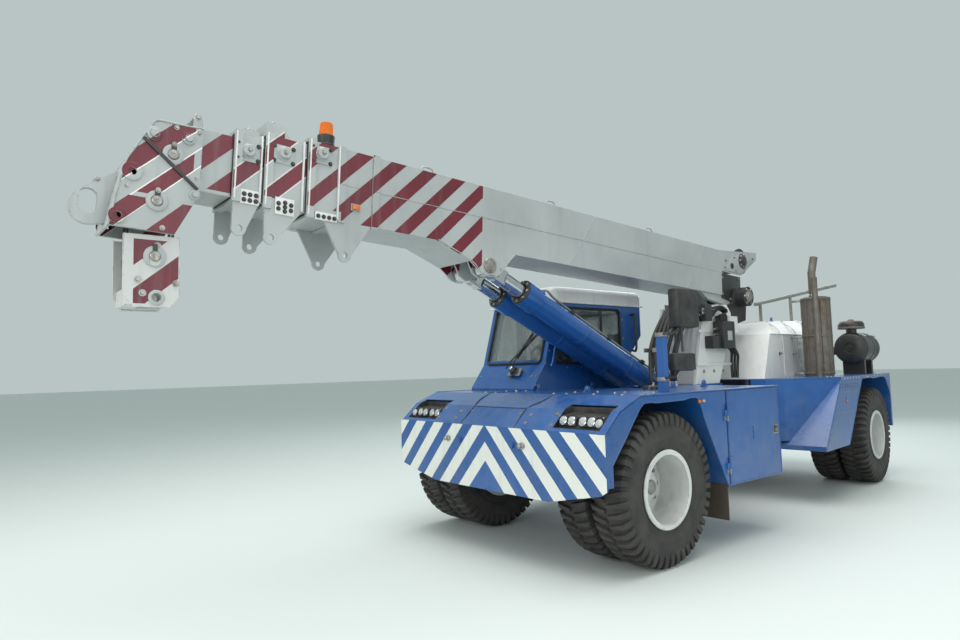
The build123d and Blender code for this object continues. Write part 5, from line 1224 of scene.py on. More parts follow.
# %% Mirror shells, faces and clamps
mirrors = Bench("mirror_shells", slot="black_plastic")
for low, high in (
        ((-0.655, 1.03, 1.752), (-0.365, 1.128, 2.066)), ((-0.585, 1.04, 1.408), (-0.312, 1.122, 1.55))):
    mirrors.finish("plastic").block(low, high, 0.024)
    mirrors.finish("seal").block(
        (low[0] - 0.004, low[1] + 0.006, low[2] + 0.01), (low[0] + 0.02, high[1] - 0.006, high[2] - 0.01),
        0.006)
    mirrors.finish("mirror_face").block(
        (low[0] - 0.0065, low[1] + 0.014, low[2] + 0.018),
        (low[0] - 0.001, high[1] - 0.014, high[2] - 0.018), 0.002)
mirrors.finish("plastic")
for z0, z1, reach in ((1.7, 1.765, -0.4), (1.36, 1.44, -0.36)):
    for y in (1.058, 1.098):
        mirrors.pipe(
            at_y(y, (-0.19, z0), (-0.3, z0 + 0.002), (reach, (z0 + z1) / 2), (reach - 0.05, z1)), 0.009, 8)
for y in (1.045, 1.105):
    mirrors.pipe([(-0.43, y, z) for z in (1.56, 1.62, 1.7, 1.76)], 0.01, 8)
mirrors.finish("steel")
for z in (1.355, 1.7):
    mirrors.lump((-0.22, 1.06, z - 0.006), (0.07, 0.072, 0.032), 0.004)
    mirrors.rod((-0.22, 1.014, z - 0.006), (-0.22, 1.106, z - 0.006), 0.006, sides=8)
mirrors.done(["mirrors"])

# %% [markdown]
# A telescopic boom is four box tubes, each sliding inside the one before. At every mouth the builder
# bolts nylon wear pads that the next tube slides on, and their adjusting screws show as round bosses and
# rows of bolts on the side. A black wiper seal lines each mouth and keeps grit out.

# %% Wear-pad bosses, bolt rows and wiper seals at the three mouths
MOUTHS = (
    ("boom_base", 0.224, 5.2202, 0.193, 0.012, 0.47, (5.13, 0.42),
     [(u, 0.006) for u in (5.025, 5.062, 5.1, 5.138)]),
    ("boom_section_2", 0.207, 5.4952, 0.176, 0.024, 0.44, (5.379, 0.365),
     [(5.316, 0.008), (5.316, 0.042), (5.356, -0.004), (5.356, 0.024), (5.356, 0.052), (5.398, 0.008),
      (5.398, 0.042)]),
    ("boom_section_3", 0.19, 5.6802, 0.159, 0.036, 0.41, (5.596, 0.334),
     [(u, w) for u in (5.535, 5.572, 5.608) for w in (0.028, 0.064)]),
)
FLANGES = (5.004, 5.247, 5.514)
for number, (body, proud, mouth, half, low, high, boss, row) in enumerate(MOUTHS):
    collar = Bench(f"{body}_mouth_fittings", body, BOOM, "light_grey_paint")
    wall = proud - 0.014
    for _ in collar.sides():
        collar.finish("grey")
        collar.turned(
            (boss[0], (wall - 0.004), boss[1]), LEFT,
            mm((47, 0), (47, 16), (41, 20), (37, 20), (37, 40), (33, 45), (16, 45), (14, 41), (0, 41)), 28)
        collar.finish("steel").rod(
            (boss[0], (wall + 0.036), boss[1]), (boss[0], (wall + 0.052), boss[1]), 0.01, sides=6)
        collar.finish("grey").lump((boss[0], (wall + 0.003), boss[1] - 0.005), (0.15, 0.008, 0.12))
        strip = [u for u, w in row], [w for u, w in row]
        collar.finish("white").block(
            (min(strip[0]) - 0.022, (wall + 0.004) - 0.004, min(strip[1]) - 0.024),
            (max(strip[0]) + 0.022, (wall + 0.004) + 0.004, max(strip[1]) + 0.03))
    collar.finish("white")
    flange_top = high + 0.036
    for at in (mouth - 0.012, FLANGES[number]):
        for _ in collar.sides():
            collar.block(
                (at - 0.005, (wall + 0.008) - 0.01, low - 0.01),
                (at + 0.005, (wall + 0.008) + 0.01, flange_top))
        collar.block(
            (at - 0.005, -wall - 0.014, flange_top - 0.012), (at + 0.005, wall + 0.014, flange_top + 0.004))
    collar.finish("seal")
    for _ in collar.sides():
        collar.block(
            (mouth - 0.016, (half + 0.0065) - 0.006, low + 0.004),
            (mouth + 0.004, (half + 0.0065) + 0.006, high + 0.01))
    for w in (high + 0.0005, low - 0.0125):
        collar.block((mouth - 0.016, -half, w), (mouth + 0.004, half, w + 0.012))
    collar.done()
    pads = on_both_sides(row, wall + 0.008)
    around = [(boss[0] + du, boss[1] + dw) for du in (-0.062, 0.062) for dw in (-0.052, 0.042)]
    pads += on_both_sides(around, wall + 0.007)
    pads += [((mouth - 0.025, y, high + 0.038), UP) for y in (-0.12, -0.04, 0.04, 0.12)]
    bolts(f"{body}_mouth_bolts", body, pads, BOOM, (0.0105, 0.008, 0.015), finish="black")

# %% [markdown]
# The boom's nose is built from two flame-cut cheek plates. Round bosses weld onto them where the pins
# pass, a flat bar stiffens them, and a bolted keeper plate stops each sheave pin from turning.
# A raised lip of plate runs along the sloping edge.

# %% Bosses, keepers, stiffener and edge lips on the nose's cheeks
cheeks = Bench("nose_cheek_fittings", "boom_head", BOOM, "light_grey_paint")
CHEEK_Y = 0.185
SHEAVE_PINS = ((6.088, -0.078), (6.02, 0.205))
NOSE_EDGE = ((6.317, -0.25), (6.287, -0.057), (6.255, 0.118), (6.181, 0.272), (6.114, 0.383), (5.865, 0.4))
for _ in cheeks.sides():
    for (u, w), radius, tall in (
            ((6.124, 0.302), 0.04, 0.016), ((5.943, 0.319), 0.036, 0.014), ((6.221, 0.063), 0.052, 0.012),
            ((6.278, -0.194), 0.044, 0.012), ((5.891, -0.005), 0.03, 0.012)):
        if radius < 0.042:
            boss = [
                (radius, 0), (radius, tall - 0.002), (radius - 0.003, tall), (radius * 0.62, tall),
                (radius * 0.58, tall - 0.003), (radius * 0.58, tall + 0.01), (radius * 0.5, tall + 0.014),
                (0, tall + 0.014)]
        else:
            boss = [
                (radius, 0), (radius, tall), (radius - 0.004, tall + 0.002), (0.0225, tall + 0.002),
                (0.0215, 0)]
        cheeks.finish("nose_striped").turned((u, (CHEEK_Y - 0.002), w), LEFT, boss, 28)
    for u, w in SHEAVE_PINS:
        cheeks.finish("steel").turned(
            (u, (CHEEK_Y + 0.01), w), LEFT, mm((29, 0), (29, 6), (25, 10), (8, 10), (6, 6), (0, 6)), 24)
        cheeks.finish("grey").turned(
            (u, (CHEEK_Y - 0.002), w), LEFT, mm((58, 0), (58, 10), (55, 12), (31.5, 12), (30.5, 2)), 28)
        cheeks.finish("black").lump((u, (CHEEK_Y + 0.014), w + 0.045), (0.028, 0.01, 0.058))
    cheeks.finish("nose_striped")
    bar = Vector((6.177, 0, 0.268)) - Vector((5.878, 0, 0.029))
    middle = Vector((6.0275, (CHEEK_Y + 0.006), 0.1485))
    lean = Matrix.Rotation(-math.atan2(bar.z, bar.x), 3, "Y")
    cheeks.finish("black").lump(middle, (bar.length, 0.012, 0.018), 0.003, lean)
    cheeks.finish("grey")
    edge = [Vector((u, (CHEEK_Y + 0.001), w)) for u, w in NOSE_EDGE]
    halves = [spot for a, b in zip(edge, edge[1:]) for spot in (a, a.lerp(b, 0.5))]
    cheeks.pipe(halves + [edge[-1]], 0.0055, 8)
cheeks.done()
keeper = on_both_sides([(u, w + 0.058) for u, w in SHEAVE_PINS], CHEEK_Y + 0.018)
keeper += on_both_sides([(5.885, 0.37), (5.885, 0.1), (6.24, -0.02), (6.05, -0.225), (6.01, 0.37)], CHEEK_Y)
keeper += on_both_sides([(6.36, 0.03)], 0.0205)
bolts("nose_bolts_and_keepers", "boom_head", keeper, BOOM, (0.01, 0.007, 0.015))
roller = Bench("rope_guide_roller", "boom_head", BOOM)
for _ in roller.sides():
    roller.finish("grey").plate(
        [(5.845, 0.404), (5.908, 0.398), (5.898, 0.502), (5.88, 0.516), (5.862, 0.512), (5.85, 0.48)],
        0.098, 0.112)
    roller.finish("steel").rod((5.878, 0.11, 0.494), (5.878, 0.124, 0.494), 0.014, sides=6)
roller.finish("steel").turned(
    (5.878, -0.098, 0.494), LEFT,
    mm((0, 0), (20, 0), (24, 4), (20, 14), (18, 98), (20, 182), (24, 192), (20, 196), (0, 196)), 24)
roller.done()

# %% [markdown]
# A rope's pull runs over the bracket behind each mouth and along the top of the boom. The brackets carry
# gussets and a guide. The base section also has lifting handles and amber side markers.

# %% Brackets, handles and marker on the boom's tubes
for body, u0, u1, base_w, top_w in (
        ("boom_section_2", 5.355, 5.475, 0.47, 0.572), ("boom_section_3", 5.52, 5.62, 0.44, 0.488)):
    bracket = Bench(f"{body}_bracket_details", body, BOOM, "light_grey_paint").finish("grey")
    for y in (-0.132, -0.05, 0.05, 0.132):
        bracket.plate(
            [(u0 - 0.06, base_w), (u0 + 0.004, base_w), (u0 + 0.004, top_w - 0.012)], y - 0.005, y + 0.005)
    bracket.block((u0 + 0.008, -0.128, top_w - 0.002), (u1 - 0.008, 0.128, top_w + 0.006))
    bracket.finish("steel").turned(
        (u0 + 0.5 * (u1 - u0), -0.09, top_w + 0.018), LEFT,
        mm((0, 0), (10, 0), (14, 3), (13, 90), (14, 177), (10, 180), (0, 180)), 18)
    bracket.done()
    bolts(
        f"{body}_bracket_bolts", body,
        [((u, y, top_w + 0.005), UP) for u in (u0 + 0.024, u1 - 0.024) for y in (-0.11, 0.11)], BOOM,
        (0.009, 0.007, 0.014))
handles = Bench("boom_top_fittings", "boom_base", BOOM, "light_grey_paint").finish("grey")
for u in (2.95, 1.55, 4.25):
    for _ in handles.sides():
        handles.pipe(
            at_y(
                0.15, (u - 0.055, 0.498), (u - 0.05, 0.535), (u - 0.03, 0.552), (u + 0.03, 0.552),
                (u + 0.05, 0.535), (u + 0.055, 0.498)), 0.008, 8)
for _ in handles.sides():
    handles.finish("grey").lump((4.87, 0.213, 0.112), (0.07, 0.01, 0.048))
    handles.finish("orange").lump((4.87, 0.222, 0.112), (0.056, 0.014, 0.034), 0.005)
    handles.finish("grey")
    for u in (0.81, 2.6):
        handles.pipe(at_y(0.2105, (u + 0.17, -0.001), (u, 0.25), (u - 0.17, 0.499)), 0.004, 6)
    handles.pipe(at_y(0.211, (0.8, 0.25), (2.6, 0.25), (4.68, 0.25)), 0.0026, 6)
    handles.pipe(
        at_y(0.2105, (3.42, 0.006), (3.59, -0.187), (3.745, -0.198), (3.865, -0.108), (4.18, 0.006)),
        0.004, 6)
    handles.finish("steel").turned(
        (3.68, 0.209, -0.124), LEFT,
        mm((62, 0), (62, 10), (58, 13), (40, 13), (38, 17), (10, 18), (0, 18)), 28)
handles.done()
ram_pin_ring = [(3.68 + 0.048 * math.cos(a), -0.124 + 0.048 * math.sin(a)) for a in (0.4, 2.5, 4.6)]
bolts("ram_pin_bolts", "boom_base", on_both_sides(ram_pin_ring, 0.2215), BOOM, (0.009, 0.007, 0.013))

# %% [markdown]
# The winch drum holds the hoist rope. The rope is wound side by side, so its shape is one turn repeated
# along the drum. A small tree spins a curve into a helix and gives it the rope's thickness.

# %% Rope wound on the drum
DRUM_U, DRUM_W, ROPE_R = -0.13, 0.44, 0.0085
rope_tree, given = new_tree(
    "wound_rope",
    [
        ("Turns", "Float", 18.0), ("Width", "Float", 0.3), ("Drum radius", "Float", 0.118),
        ("Rope radius", "Float", ROPE_R), ("Finish", "Material", None)])
helix = geo(
    rope_tree, "CurveSpiral",
    {
        "Resolution": 28, "Rotations": given["Turns"], "Start Radius": given["Drum radius"],
        "End Radius": given["Drum radius"], "Height": given["Width"]})
ring = geo(
    rope_tree, "CurvePrimitiveCircle", {"Resolution": 8, "Radius": given["Rope radius"]}, mode="RADIUS")
wound = geo(rope_tree, "CurveToMesh", {"Curve": helix, "Profile Curve": ring, "Fill Caps": True})
close_tree(rope_tree, wound, given["Finish"])
start = bpy.data.meshes.new("hoist_rope_coil")
coil = grow(
    "hoist_rope_coil", start, rope_tree,
    {"Turns": 18.0, "Width": 0.3, "Drum radius": 0.1185, "Rope radius": ROPE_R, "Finish": finishes["rope"]})
coil.transform(
    BOOM @ Matrix.Translation((DRUM_U, 0.15, DRUM_W)) @ Matrix.Rotation(math.radians(90), 4, "X"))
send(stand("hoist_rope_coil", coil), "winch_drum", "wire_rope")

# %% [markdown]
# The hook block hangs low under the nose. Its cheeks carry the sheave pin with a keeper, two through
# bolts, and a raised boss stiffens each cheek where the hook's cross pin passes.

# %% Hook block and rope details
HANG = 3.183
tackle = Bench("hook_block_fittings", "hook_block")
for _ in tackle.sides():
    face = 0.15
    tackle.finish("steel").turned(
        (HANG, 0.158, 2.142), LEFT, mm((29, 0), (29, 10), (24, 15), (10, 15), (0, 12)), 24)
    tackle.finish("grey").turned(
        (HANG, face, 2.142), LEFT, mm((60, 0), (60, 6), (56, 8), (31, 8), (30, 0)), 28)
    tackle.finish("black").lump((HANG, 0.161, 2.185), (0.024, 0.008, 0.054), 0.002)
    tackle.finish("grey").turned(
        (HANG - 0.01, face, 1.912), LEFT, mm((43, 0), (43, 6), (40, 8), (26, 8), (24.5, 0)), 28)
for x, z in ((HANG + 0.085, 2.009), (HANG - 0.112, 1.996)):
    tackle.finish("steel").rod((x, -0.149, z), (x, 0.149, z), 0.01, sides=12)
tackle.done()
block_bolts = [(HANG + x, z) for x, z in ((0.085, 2.009), (-0.112, 1.996), (-0.013, 2.205), (0.06, 1.935))]
bolts("hook_block_bolts", "hook_block", on_both_sides(block_bolts, 0.15), size=(0.013, 0.01, 0.02))

# %% [markdown]
# Two lift rams push the boom up. Each barrel ends in a screwed gland that holds the rod's seals, and oil
# comes through steel pipes that run along the barrel in clamps. The rod's end is a flat eye that bolts
# round the pin.

# %% A workshop along the rams, and their glands, pipes and clamps
foot_pin = Vector(joint["barrel_swing"]["pos_m"])
ram_way = Vector(joint["rod_slide"]["axis"]).normalized()
ram_up = Vector((-ram_way.z, 0, ram_way.x))
RAM = Matrix((
    (ram_way.x, 0, ram_up.x, foot_pin.x),
    (0, 1, 0, heel_pin.y),
    (ram_way.z, 0, ram_up.z, foot_pin.z),
    (0, 0, 0, 1),
))
RAM_Y = 0.145
barrels = Bench("ram_barrel_fittings", "lift_barrels", RAM, "blue_paint")
rods = Bench("ram_rod_fittings", "lift_rods", RAM)
for sign in (1, -1):
    y = sign * RAM_Y
    barrels.finish("blue")
    for start, radius, long in (
            (1.985, 0.113, 0.024), (0.12, 0.104, 0.06), (1.36, 0.1015, 0.03), (0.7, 0.1015, 0.03)):
        if radius > 0.11:
            barrels.turned(
                (start, y, 0), AHEAD, [(0.097, 0), (radius, 0.002), (radius, long), (0.097, long + 0.002)],
                40)
        else:
            barrels.turned(
                (start, y, 0), AHEAD,
                [
                    (0.097, 0), (radius - 0.002, 0), (radius, 0.003), (radius, long - 0.003),
                    (radius - 0.002, long), (0.097, long)], 40)
    barrels.finish("black").turned(
        (2.151, y, 0), AHEAD, mm((106, 0), (104, 10), (90, 16), (72, 18), (66.5, 14), (66.5, 0)), 40)
    barrels.finish("blue")
    for at in (0.19, 1.93):
        barrels.turned(
            (at, y, 0.085), UP, mm((30, 0), (30, 24), (27, 27), (19, 27), (19, 48), (16, 50), (0, 50)), 18)
    barrels.finish("steel")
    out = sign * 0.018
    barrels.pipe(
        [
            (1.93, y, 0.132), (1.9, y + out, 0.146), (1.78, y + out, 0.124), (1.4, y + out, 0.118),
            (0.7, y + out, 0.118), (0.34, y + out, 0.119), (0.27, y + out * 0.5, 0.142)], 0.0105, 10)
    for at in (1.56, 1.03, 0.5):
        barrels.finish("black").lump((at, y + out, 0.116), (0.044, 0.048, 0.04), 0.004)
        barrels.finish("steel").rod((at, y + out, 0.135), (at, y + out, 0.144), 0.008, sides=6)
    barrels.finish("steel").turned(
        (0, sign * 0.244, 0), (0, sign, 0), mm((38, 0), (38, 8), (34, 11), (9, 11), (7, 8), (0, 8)), 24)
    rods.finish("grey")
    rods.turned((2.455, y, 0), AHEAD, mm((61, 0), (65.5, 3), (65.5, 30), (61, 34)), 32)
    rods.finish("steel")
    for rise in (0.048, -0.048):
        rods.rod((2.47, y - 0.068, rise * 0.62), (2.47, y + 0.068, rise * 0.62), 0.008, sides=8)
barrels.done()
rods.done()
gland = [((2.166, sign * RAM_Y + y, z), AHEAD) for sign in (1, -1) for y, z in ring_points(0.088, 8)]
bolts("ram_gland_bolts", "lift_barrels", gland, RAM, (0.0095, 0.008, 0.0125))

# %% [markdown]
# Behind the cab stands the tower that carries the boom's heel. Valve blocks and a fan of black hoses
# climb its side. The hoses bow a little between their clamps. They are fixed at both ends and never
# meet the boom, so they stay with the chassis while the boom lifts.

# %% Hoses and valve blocks on the tower
hoses = Bench("tower_hose_bundle", slot="hose_rubber")
for k in range(6):
    shift = 0.02 * k
    y = 0.268 + 0.034 * (k % 3)
    foot = (-1.1 - 0.055 * k, y + 0.05, 1.252)
    hoses.finish("hose").pipe(
        [
            foot, (foot[0] + 0.012, y + 0.045, 1.36), (-1.115 - shift * 1.4, y + 0.03, 1.6 - 0.01 * k),
            (-1.25 - shift, y + 0.012, 1.8 + 0.012 * k), (-1.45 - shift * 0.6, y, 1.975 + 0.016 * k),
            (-1.66 - shift * 0.3, y, 2.01 + 0.018 * k), (-1.86, y, 1.995 + 0.016 * k - 0.01 * (k % 2)),
            (-1.965, y, 1.965 + 0.012 * k)], 0.0165, 10)
    hoses.finish("steel").turned(
        (foot[0], foot[1], 1.2505), UP, mm((24, 0), (24, 12), (20, 16), (20, 44), (16.5, 48)), 12)
    hoses.turned((-1.985, y, 1.957 + 0.012 * k), AHEAD, mm((16.5, -8), (21, -4), (21, 40), (16.5, 44)), 12)
hoses.finish("steel")
for x, z in ((-1.135, 1.6), (-1.5, 2.03)):
    hoses.lump((x, 0.265, z), (0.15, 0.006, 0.04), 0.002)
    hoses.lump((x, 0.359, z), (0.15, 0.006, 0.04), 0.002)
hoses.done()
valves = Bench("tower_valve_gear", slot="black_paint").finish("black")
valves.block((-2.1, 0.262, 1.9), (-1.985, 0.372, 2.075), 0.008)
valves.block((-2.484, 0.271, 1.615), (-2.259, 0.4, 1.905), 0.012)
valves.block((-2.255, 0.271, 1.615), (-2.095, 0.372, 1.748), 0.01)
for z in (1.7, 1.76, 1.82):
    valves.finish("black").turned((-2.258, 0.335, z), AHEAD, mm((22, 0), (22, 50), (18, 55), (0, 55)), 16)
    valves.finish("steel").rod((-2.204, 0.335, z), (-2.17, 0.335, z), 0.01, sides=6)
valves.finish("plastic")
for k in range(4):
    valves.block((-2.455 + 0.05 * k, 0.3, 1.903), (-2.42 + 0.05 * k, 0.368, 1.962), 0.005)
valves.finish("grey").block((-2.42, 0.399, 1.7), (-2.33, 0.403, 1.8), 0.0015)
valves.finish("hose")
for k in range(4):
    z = 1.935 + 0.032 * k
    valves.pipe(
        [
            (-2.098, 0.29 + 0.022 * k, z), (-2.2, 0.3 + 0.022 * k, z + 0.02),
            (-2.3, 0.31 + 0.018 * k, 2.03 + 0.01 * k), (-2.4, 0.316 + 0.016 * k, 2.01),
            (-2.437 + 0.05 * k, 0.334, 1.962)], 0.0125, 8)
for k in range(3):
    valves.pipe(
        [
            (-2.47 - 0.004 * k, 0.3 + 0.036 * k, 1.64), (-2.56, 0.3 + 0.036 * k, 1.58 - 0.02 * k),
            (-2.6, 0.27 + 0.036 * k, 1.46), (-2.57, 0.29 + 0.03 * k, 1.3)], 0.015, 8)
valves.done()
tower = Bench("tower_trim", slot="white_paint").finish("white")
for _ in tower.sides():
    for x0, x1, z in ((-2.6, -1.93, 1.45), (-2.6, -1.99, 1.8)):
        tower.block((x0, 0.273 - 0.004, z - 0.016), (x1, 0.273 + 0.004, z + 0.016))
    tower.finish("steel").turned(
        (-2.9, 0.35, 2.2), LEFT, mm((68, -2), (68, 10), (62, 14), (40, 14), (36, 22), (12, 22), (0, 18)), 28)
    tower.finish("white")
tower.done()
tower_bolts = on_both_sides([(x - 2.9, z + 2.2) for x, z in ring_points(0.085, 6)], 0.35)
tower_bolts += on_both_sides([(x, 1.38) for x in (-2.42, -2.24, -2.05)], 0.27)
bolts("tower_bolts", "front_chassis", tower_bolts)

# %% [markdown]
# A black sheet on the boom's tail sides is painted shade round the heel pin, and a lighter plate above
# it carries the winch.
# A hole with a rolled edge, the drum's bearings and rows of bolts break up the sheet.

# %% Painted-shade sheet, covers, holes and hoses on the boom's tail
tail = Bench("boom_tail_covers", "boom_base", BOOM, "black_paint")
for _ in tail.sides():
    # Painted shade: this black sheet stands for the shade round the heel pin.
    tail.finish("black")
    tail.plate(
        [(0.31, 0.249), (-0.105, 0.249), (-0.102, 0.13), (-0.07, 0.0), (0.1, -0.06), (0.3, -0.03)],
        0.1925, 0.199, "y", 0.0025)
    tail.finish("grey").plate(
        [(0.28, 0.285), (-0.1, 0.285), (-0.41, 0.488), (-0.41, 0.535), (0.09, 0.49)], 0.2105,
        0.2165, "y", 0.0025)
    tail.finish("seal").turned(
        (0.1, 0.2166, 0.352), LEFT, mm((30, 0), (34, 3), (30, 4), (20, 2), (0, 1)), 24)
    tail.finish("black").turned(
        (DRUM_U, 0.2135, DRUM_W), LEFT,
        mm((85, 0), (85, 10), (80, 14), (50, 14), (46, 28), (30, 32), (0, 32)), 32)
tail.finish("hose")
for k in range(3):
    y = -0.06 + 0.06 * k
    tail.pipe(at_y(y, (0.345, 0.12), (0.26, 0.15), (0.17, 0.1), (0.13, 0.02), (0.17, -0.03)), 0.014, 8)
tail.done()
tail_bolts = on_both_sides([(u + DRUM_U, w + DRUM_W) for u, w in ring_points(0.068, 8)], 0.2265)
plate_bolts = ((0.24, 0.32), (0.02, 0.31), (-0.16, 0.36), (-0.36, 0.5), (0.05, 0.46), (0.22, 0.4))
tail_bolts += on_both_sides(plate_bolts, 0.2165)
tail_bolts += on_both_sides(((0.28, 0.2), (0.28, 0.02), (-0.07, 0.22), (-0.05, 0.06), (0.12, -0.03)), 0.199)
bolts("boom_tail_bolts", "boom_base", tail_bolts, BOOM, (0.0105, 0.008, 0.016))

# %% [markdown]
# The flanks are where people touch the crane: a locker with a paddle latch and hinges, small marker
# lamps over the wheel arch and a step. Rolled lips stiffen the arches and the deck's edges.

# %% Locker furniture, arch lips, markers and step on the front flanks
flank = Bench("front_flank_fittings", slot="blue_paint")
FACE = 1.2352
for sign in flank.sides():
    arch = [
        (0.683, 0.743), (0.48, 0.97), (0.28, 1.187), (0.1, 1.193), (-0.2, 1.197), (-0.4, 1.2),
        (-0.5, 1.015), (-0.62, 0.79), (-0.777, 0.498)]
    flank.finish("blue").pipe(at_y((FACE - 0.006), *arch), 0.0075, 8)
    edge_end = -1.66 if sign > 0 else -0.5
    flank.pipe(at_y(1.2325, (0.3, 1.249), (-0.4, 1.249), (edge_end, 1.249)), 0.006, 8)
    for x, lens in ((-0.415, "orange"), (-0.47, "clear_lens")):
        flank.finish("lamp_body").lump((x, FACE + 0.0015, 1.174), (0.044, 0.009, 0.028), 0.004)
        flank.finish(lens).lump((x, (FACE + 0.007), 1.174), (0.036, 0.012, 0.022), 0.005)
flank.done()
latch = Bench("locker_door_furniture", "locker_door")
latch.finish("blue")
seal(
    latch,
    [(-1.65, 1.2355, 1.225), (-0.816, 1.2355, 1.225), (-0.816, 1.2355, 0.496), (-1.65, 1.2355, 0.496)],
    0.0035, 0.02)
latch.finish("steel").block((-1.625, 1.2345, 0.835), (-1.535, 1.2375, 0.915))
latch.finish("lamp_body").block((-1.612, 1.2365, 0.846), (-1.548, 1.2405, 0.904), 0.004)
latch.finish("steel").block((-1.6, 1.24, 0.858), (-1.56, 1.2455, 0.884))
latch.rod((-1.58, 1.24, 0.894), (-1.58, 1.2455, 0.894), 0.006, sides=12)
latch.done()
hinge = Bench("locker_hinges")
for z in (0.62, 1.04):
    hinge.finish("blue").lump((-0.771, 1.23725, z), (0.052, 0.0045, 0.08), 0.002)
    hinge.finish("steel").rod((-0.8, 1.243, z - 0.044), (-0.8, 1.243, z + 0.044), 0.0075, sides=12)
hinge.done()
flank_bolts = [((-0.77, FACE + 0.0042, z), LEFT) for z in (0.6, 0.64, 1.02, 1.06)]
bolts("flank_bolts", "front_chassis", flank_bolts, size=(0.009, 0.006, 0.014))
step = Bench("cab_side_step", slot="black_paint").finish("black")
for z in (0.5, 0.3):
    step.lump((-1.2, -1.15, z - 0.003), (0.44, 0.15, 0.018), 0.004)
    for k in range(10):
        step.block((-1.405 + 0.045 * k, -1.22, z + 0.004), (-1.395 + 0.045 * k, -1.08, z + 0.012), 0.0015)
for x in (-1.43, -0.97):
    step.lump((x, -1.2085, 0.5225), (0.016, 0.027, 0.475))
    step.lump((x, -1.0915, 0.5225), (0.016, 0.027, 0.475))
step.done()

# %% [markdown]
# The rear flank is a wide folded panel. Three pressed bands run along it, rows of louvres let hot air
# out of the engine bay, and the panel drops forward of the wheel. The louvres repeat, so a tree stamps
# one bent blade on a grid.

# %% Louvres: a tree that stamps blades on a grid
louvre_tree, given = new_tree(
    "louvres",
    [
        ("Blade", "Object", None), ("Across", "Int", 8), ("Up", "Int", 3), ("Pitch", "Vector", (0.1, 0, 0)),
        ("Rise", "Vector", (0, 0, 0.03)), ("Finish", "Material", None)])
row_line = geo(louvre_tree, "MeshLine", {"Count": given["Across"], "Offset": given["Pitch"]})
rise_line = geo(louvre_tree, "MeshLine", {"Count": given["Up"], "Offset": given["Rise"]})
spots = geo(louvre_tree, "InstanceOnPoints", {"Points": rise_line, "Instance": row_line})
spots = geo(louvre_tree, "RealizeInstances", {0: spots})
stamp = add_node(louvre_tree, "GeometryNodeObjectInfo", {"Object": given["Blade"]}).outputs["Geometry"]
stamped = geo(louvre_tree, "InstanceOnPoints", {"Points": spots, "Instance": stamp})
close_tree(louvre_tree, stamped, given["Finish"])


def louvres(
        name, body, shop, start, long, tall, proud, across, up, pitch, rise, finish, slot, sign,
        across_plate="x"):
    """A bent blade: a shallow wedge whose lower edge stands proud, repeated over a panel."""
    blade = Bench(name + "_blade")
    half = long / 2
    wedge = [(0, tall), (0, 0), (proud * 0.9, 0.0), (proud, tall * 0.18), (proud * 0.35, tall * 0.86)]
    blade.finish(finish).plate([(sign * a, b) for a, b in wedge], -half, half, across_plate, 0.0012)
    stamp_object = stand(name + "_blade", as_mesh(blade.form, name + "_blade"))
    settings = {
        "Blade": stamp_object, "Across": across, "Up": up, "Pitch": pitch, "Rise": rise,
        "Finish": coats[finish]}
    shape = grow(name, bpy.data.meshes.new(name), louvre_tree, settings)
    bpy.data.objects.remove(stamp_object)
    shape.transform(shop @ Matrix.Translation(start))
    send(stand(name, shape), body, slot)


for sign, label in ((1, "left"), (-1, "right")):
    louvres(
        f"rear_{label}_flank_louvres", "rear_chassis", REAR, (-3.14, sign * 1.2352, 1.158), 0.07, 0.014,
        0.011, 8, 3, (-0.088, 0, 0), (0, 0, 0.025), "blue", "blue_paint", sign)

# %% Bands, lips and lamps on the rear flanks
panel = Bench("rear_flank_fittings", "rear_chassis", REAR, "blue_paint")
REAR_FACE = 1.2355
for _ in panel.sides():
    panel.finish("blue")
    panel.pipe(
        [
            (x, (REAR_FACE - 0.006), z)
            for x, z in (
                    (-3.33, 0.552), (-3.63, 0.896), (-3.93, 1.236), (-4.4, 1.238), (-4.86, 1.236),
                    (-5.04, 1.04), (-5.048, 0.8), (-5.05, 0.625))], 0.008, 8)
    panel.pipe([(x, (REAR_FACE - 0.004), 1.27) for x in (-3.18, -3.6, -4.2, -5.08)], 0.007, 8)
    panel.pipe(
        at_y((REAR_FACE - 0.004), (-2.6, 0.556), (-2.75, 0.732), (-2.95, 0.965), (-3.185, 1.236)), 0.007, 8)
    for x0, x1, z in ((-3.1, -3.74, 1.118), (-2.9, -3.5, 0.905), (-2.87, -3.46, 0.868)):
        panel.pipe(at_y(REAR_FACE, (x0, z), ((x0 + x1) / 2, z), (x1, z)), 0.0035, 6)
    panel.finish("lamp_body").turned(
        (-3.33, 1.2325, 1.02), LEFT, mm((26, 0), (26, 5), (22, 7), (20, 4)), 24)
    panel.finish("orange").turned((-3.33, 1.2365, 1.02), LEFT, mm((20, 0), (19, 4), (10, 7), (0, 7.5)), 24)
panel.done()
edge_row = [-3.2 - 0.1 * k for k in range(7)] + [-3.98 - 0.14 * k for k in range(6)]
rear_bolts = on_both_sides([(x, 1.254) for x in edge_row], 1.2352)
rear_bolts += [((-2.66 - 0.12 * k, y, 1.28), UP) for k in range(5) for y in (0.8, -0.8)]
rear_bolts += [((-3.12 - 0.12 * k, y, 1.28), UP) for k in range(3) for y in (1.12, -1.12)]
rear_bolts += [((x, y, 1.28), UP) for x in (-4.98, -4.86) for y in (-1.1, -0.8, 0.8, 1.1)]
bolts("rear_deck_bolts", "rear_chassis", rear_bolts, REAR, (0.009, 0.006, 0.014))

# %% [markdown]
# The engine hood is white sheet with raised seams, a louvred side, T-handles and lifting eyes. On its
# left stand the muffler, caged in rings and upright rods that keep hands off hot steel, and the round
# air cleaner with its clamp bands and bowl. The side and radiator louvres use the same tree.

# %% Hood furniture, muffler shield and air cleaner
def hood_top(x):
    """Height of the hood's top sheet, which climbs a little towards the radiator."""
    return 1.93 + 0.0405 * (-3.3 - x)


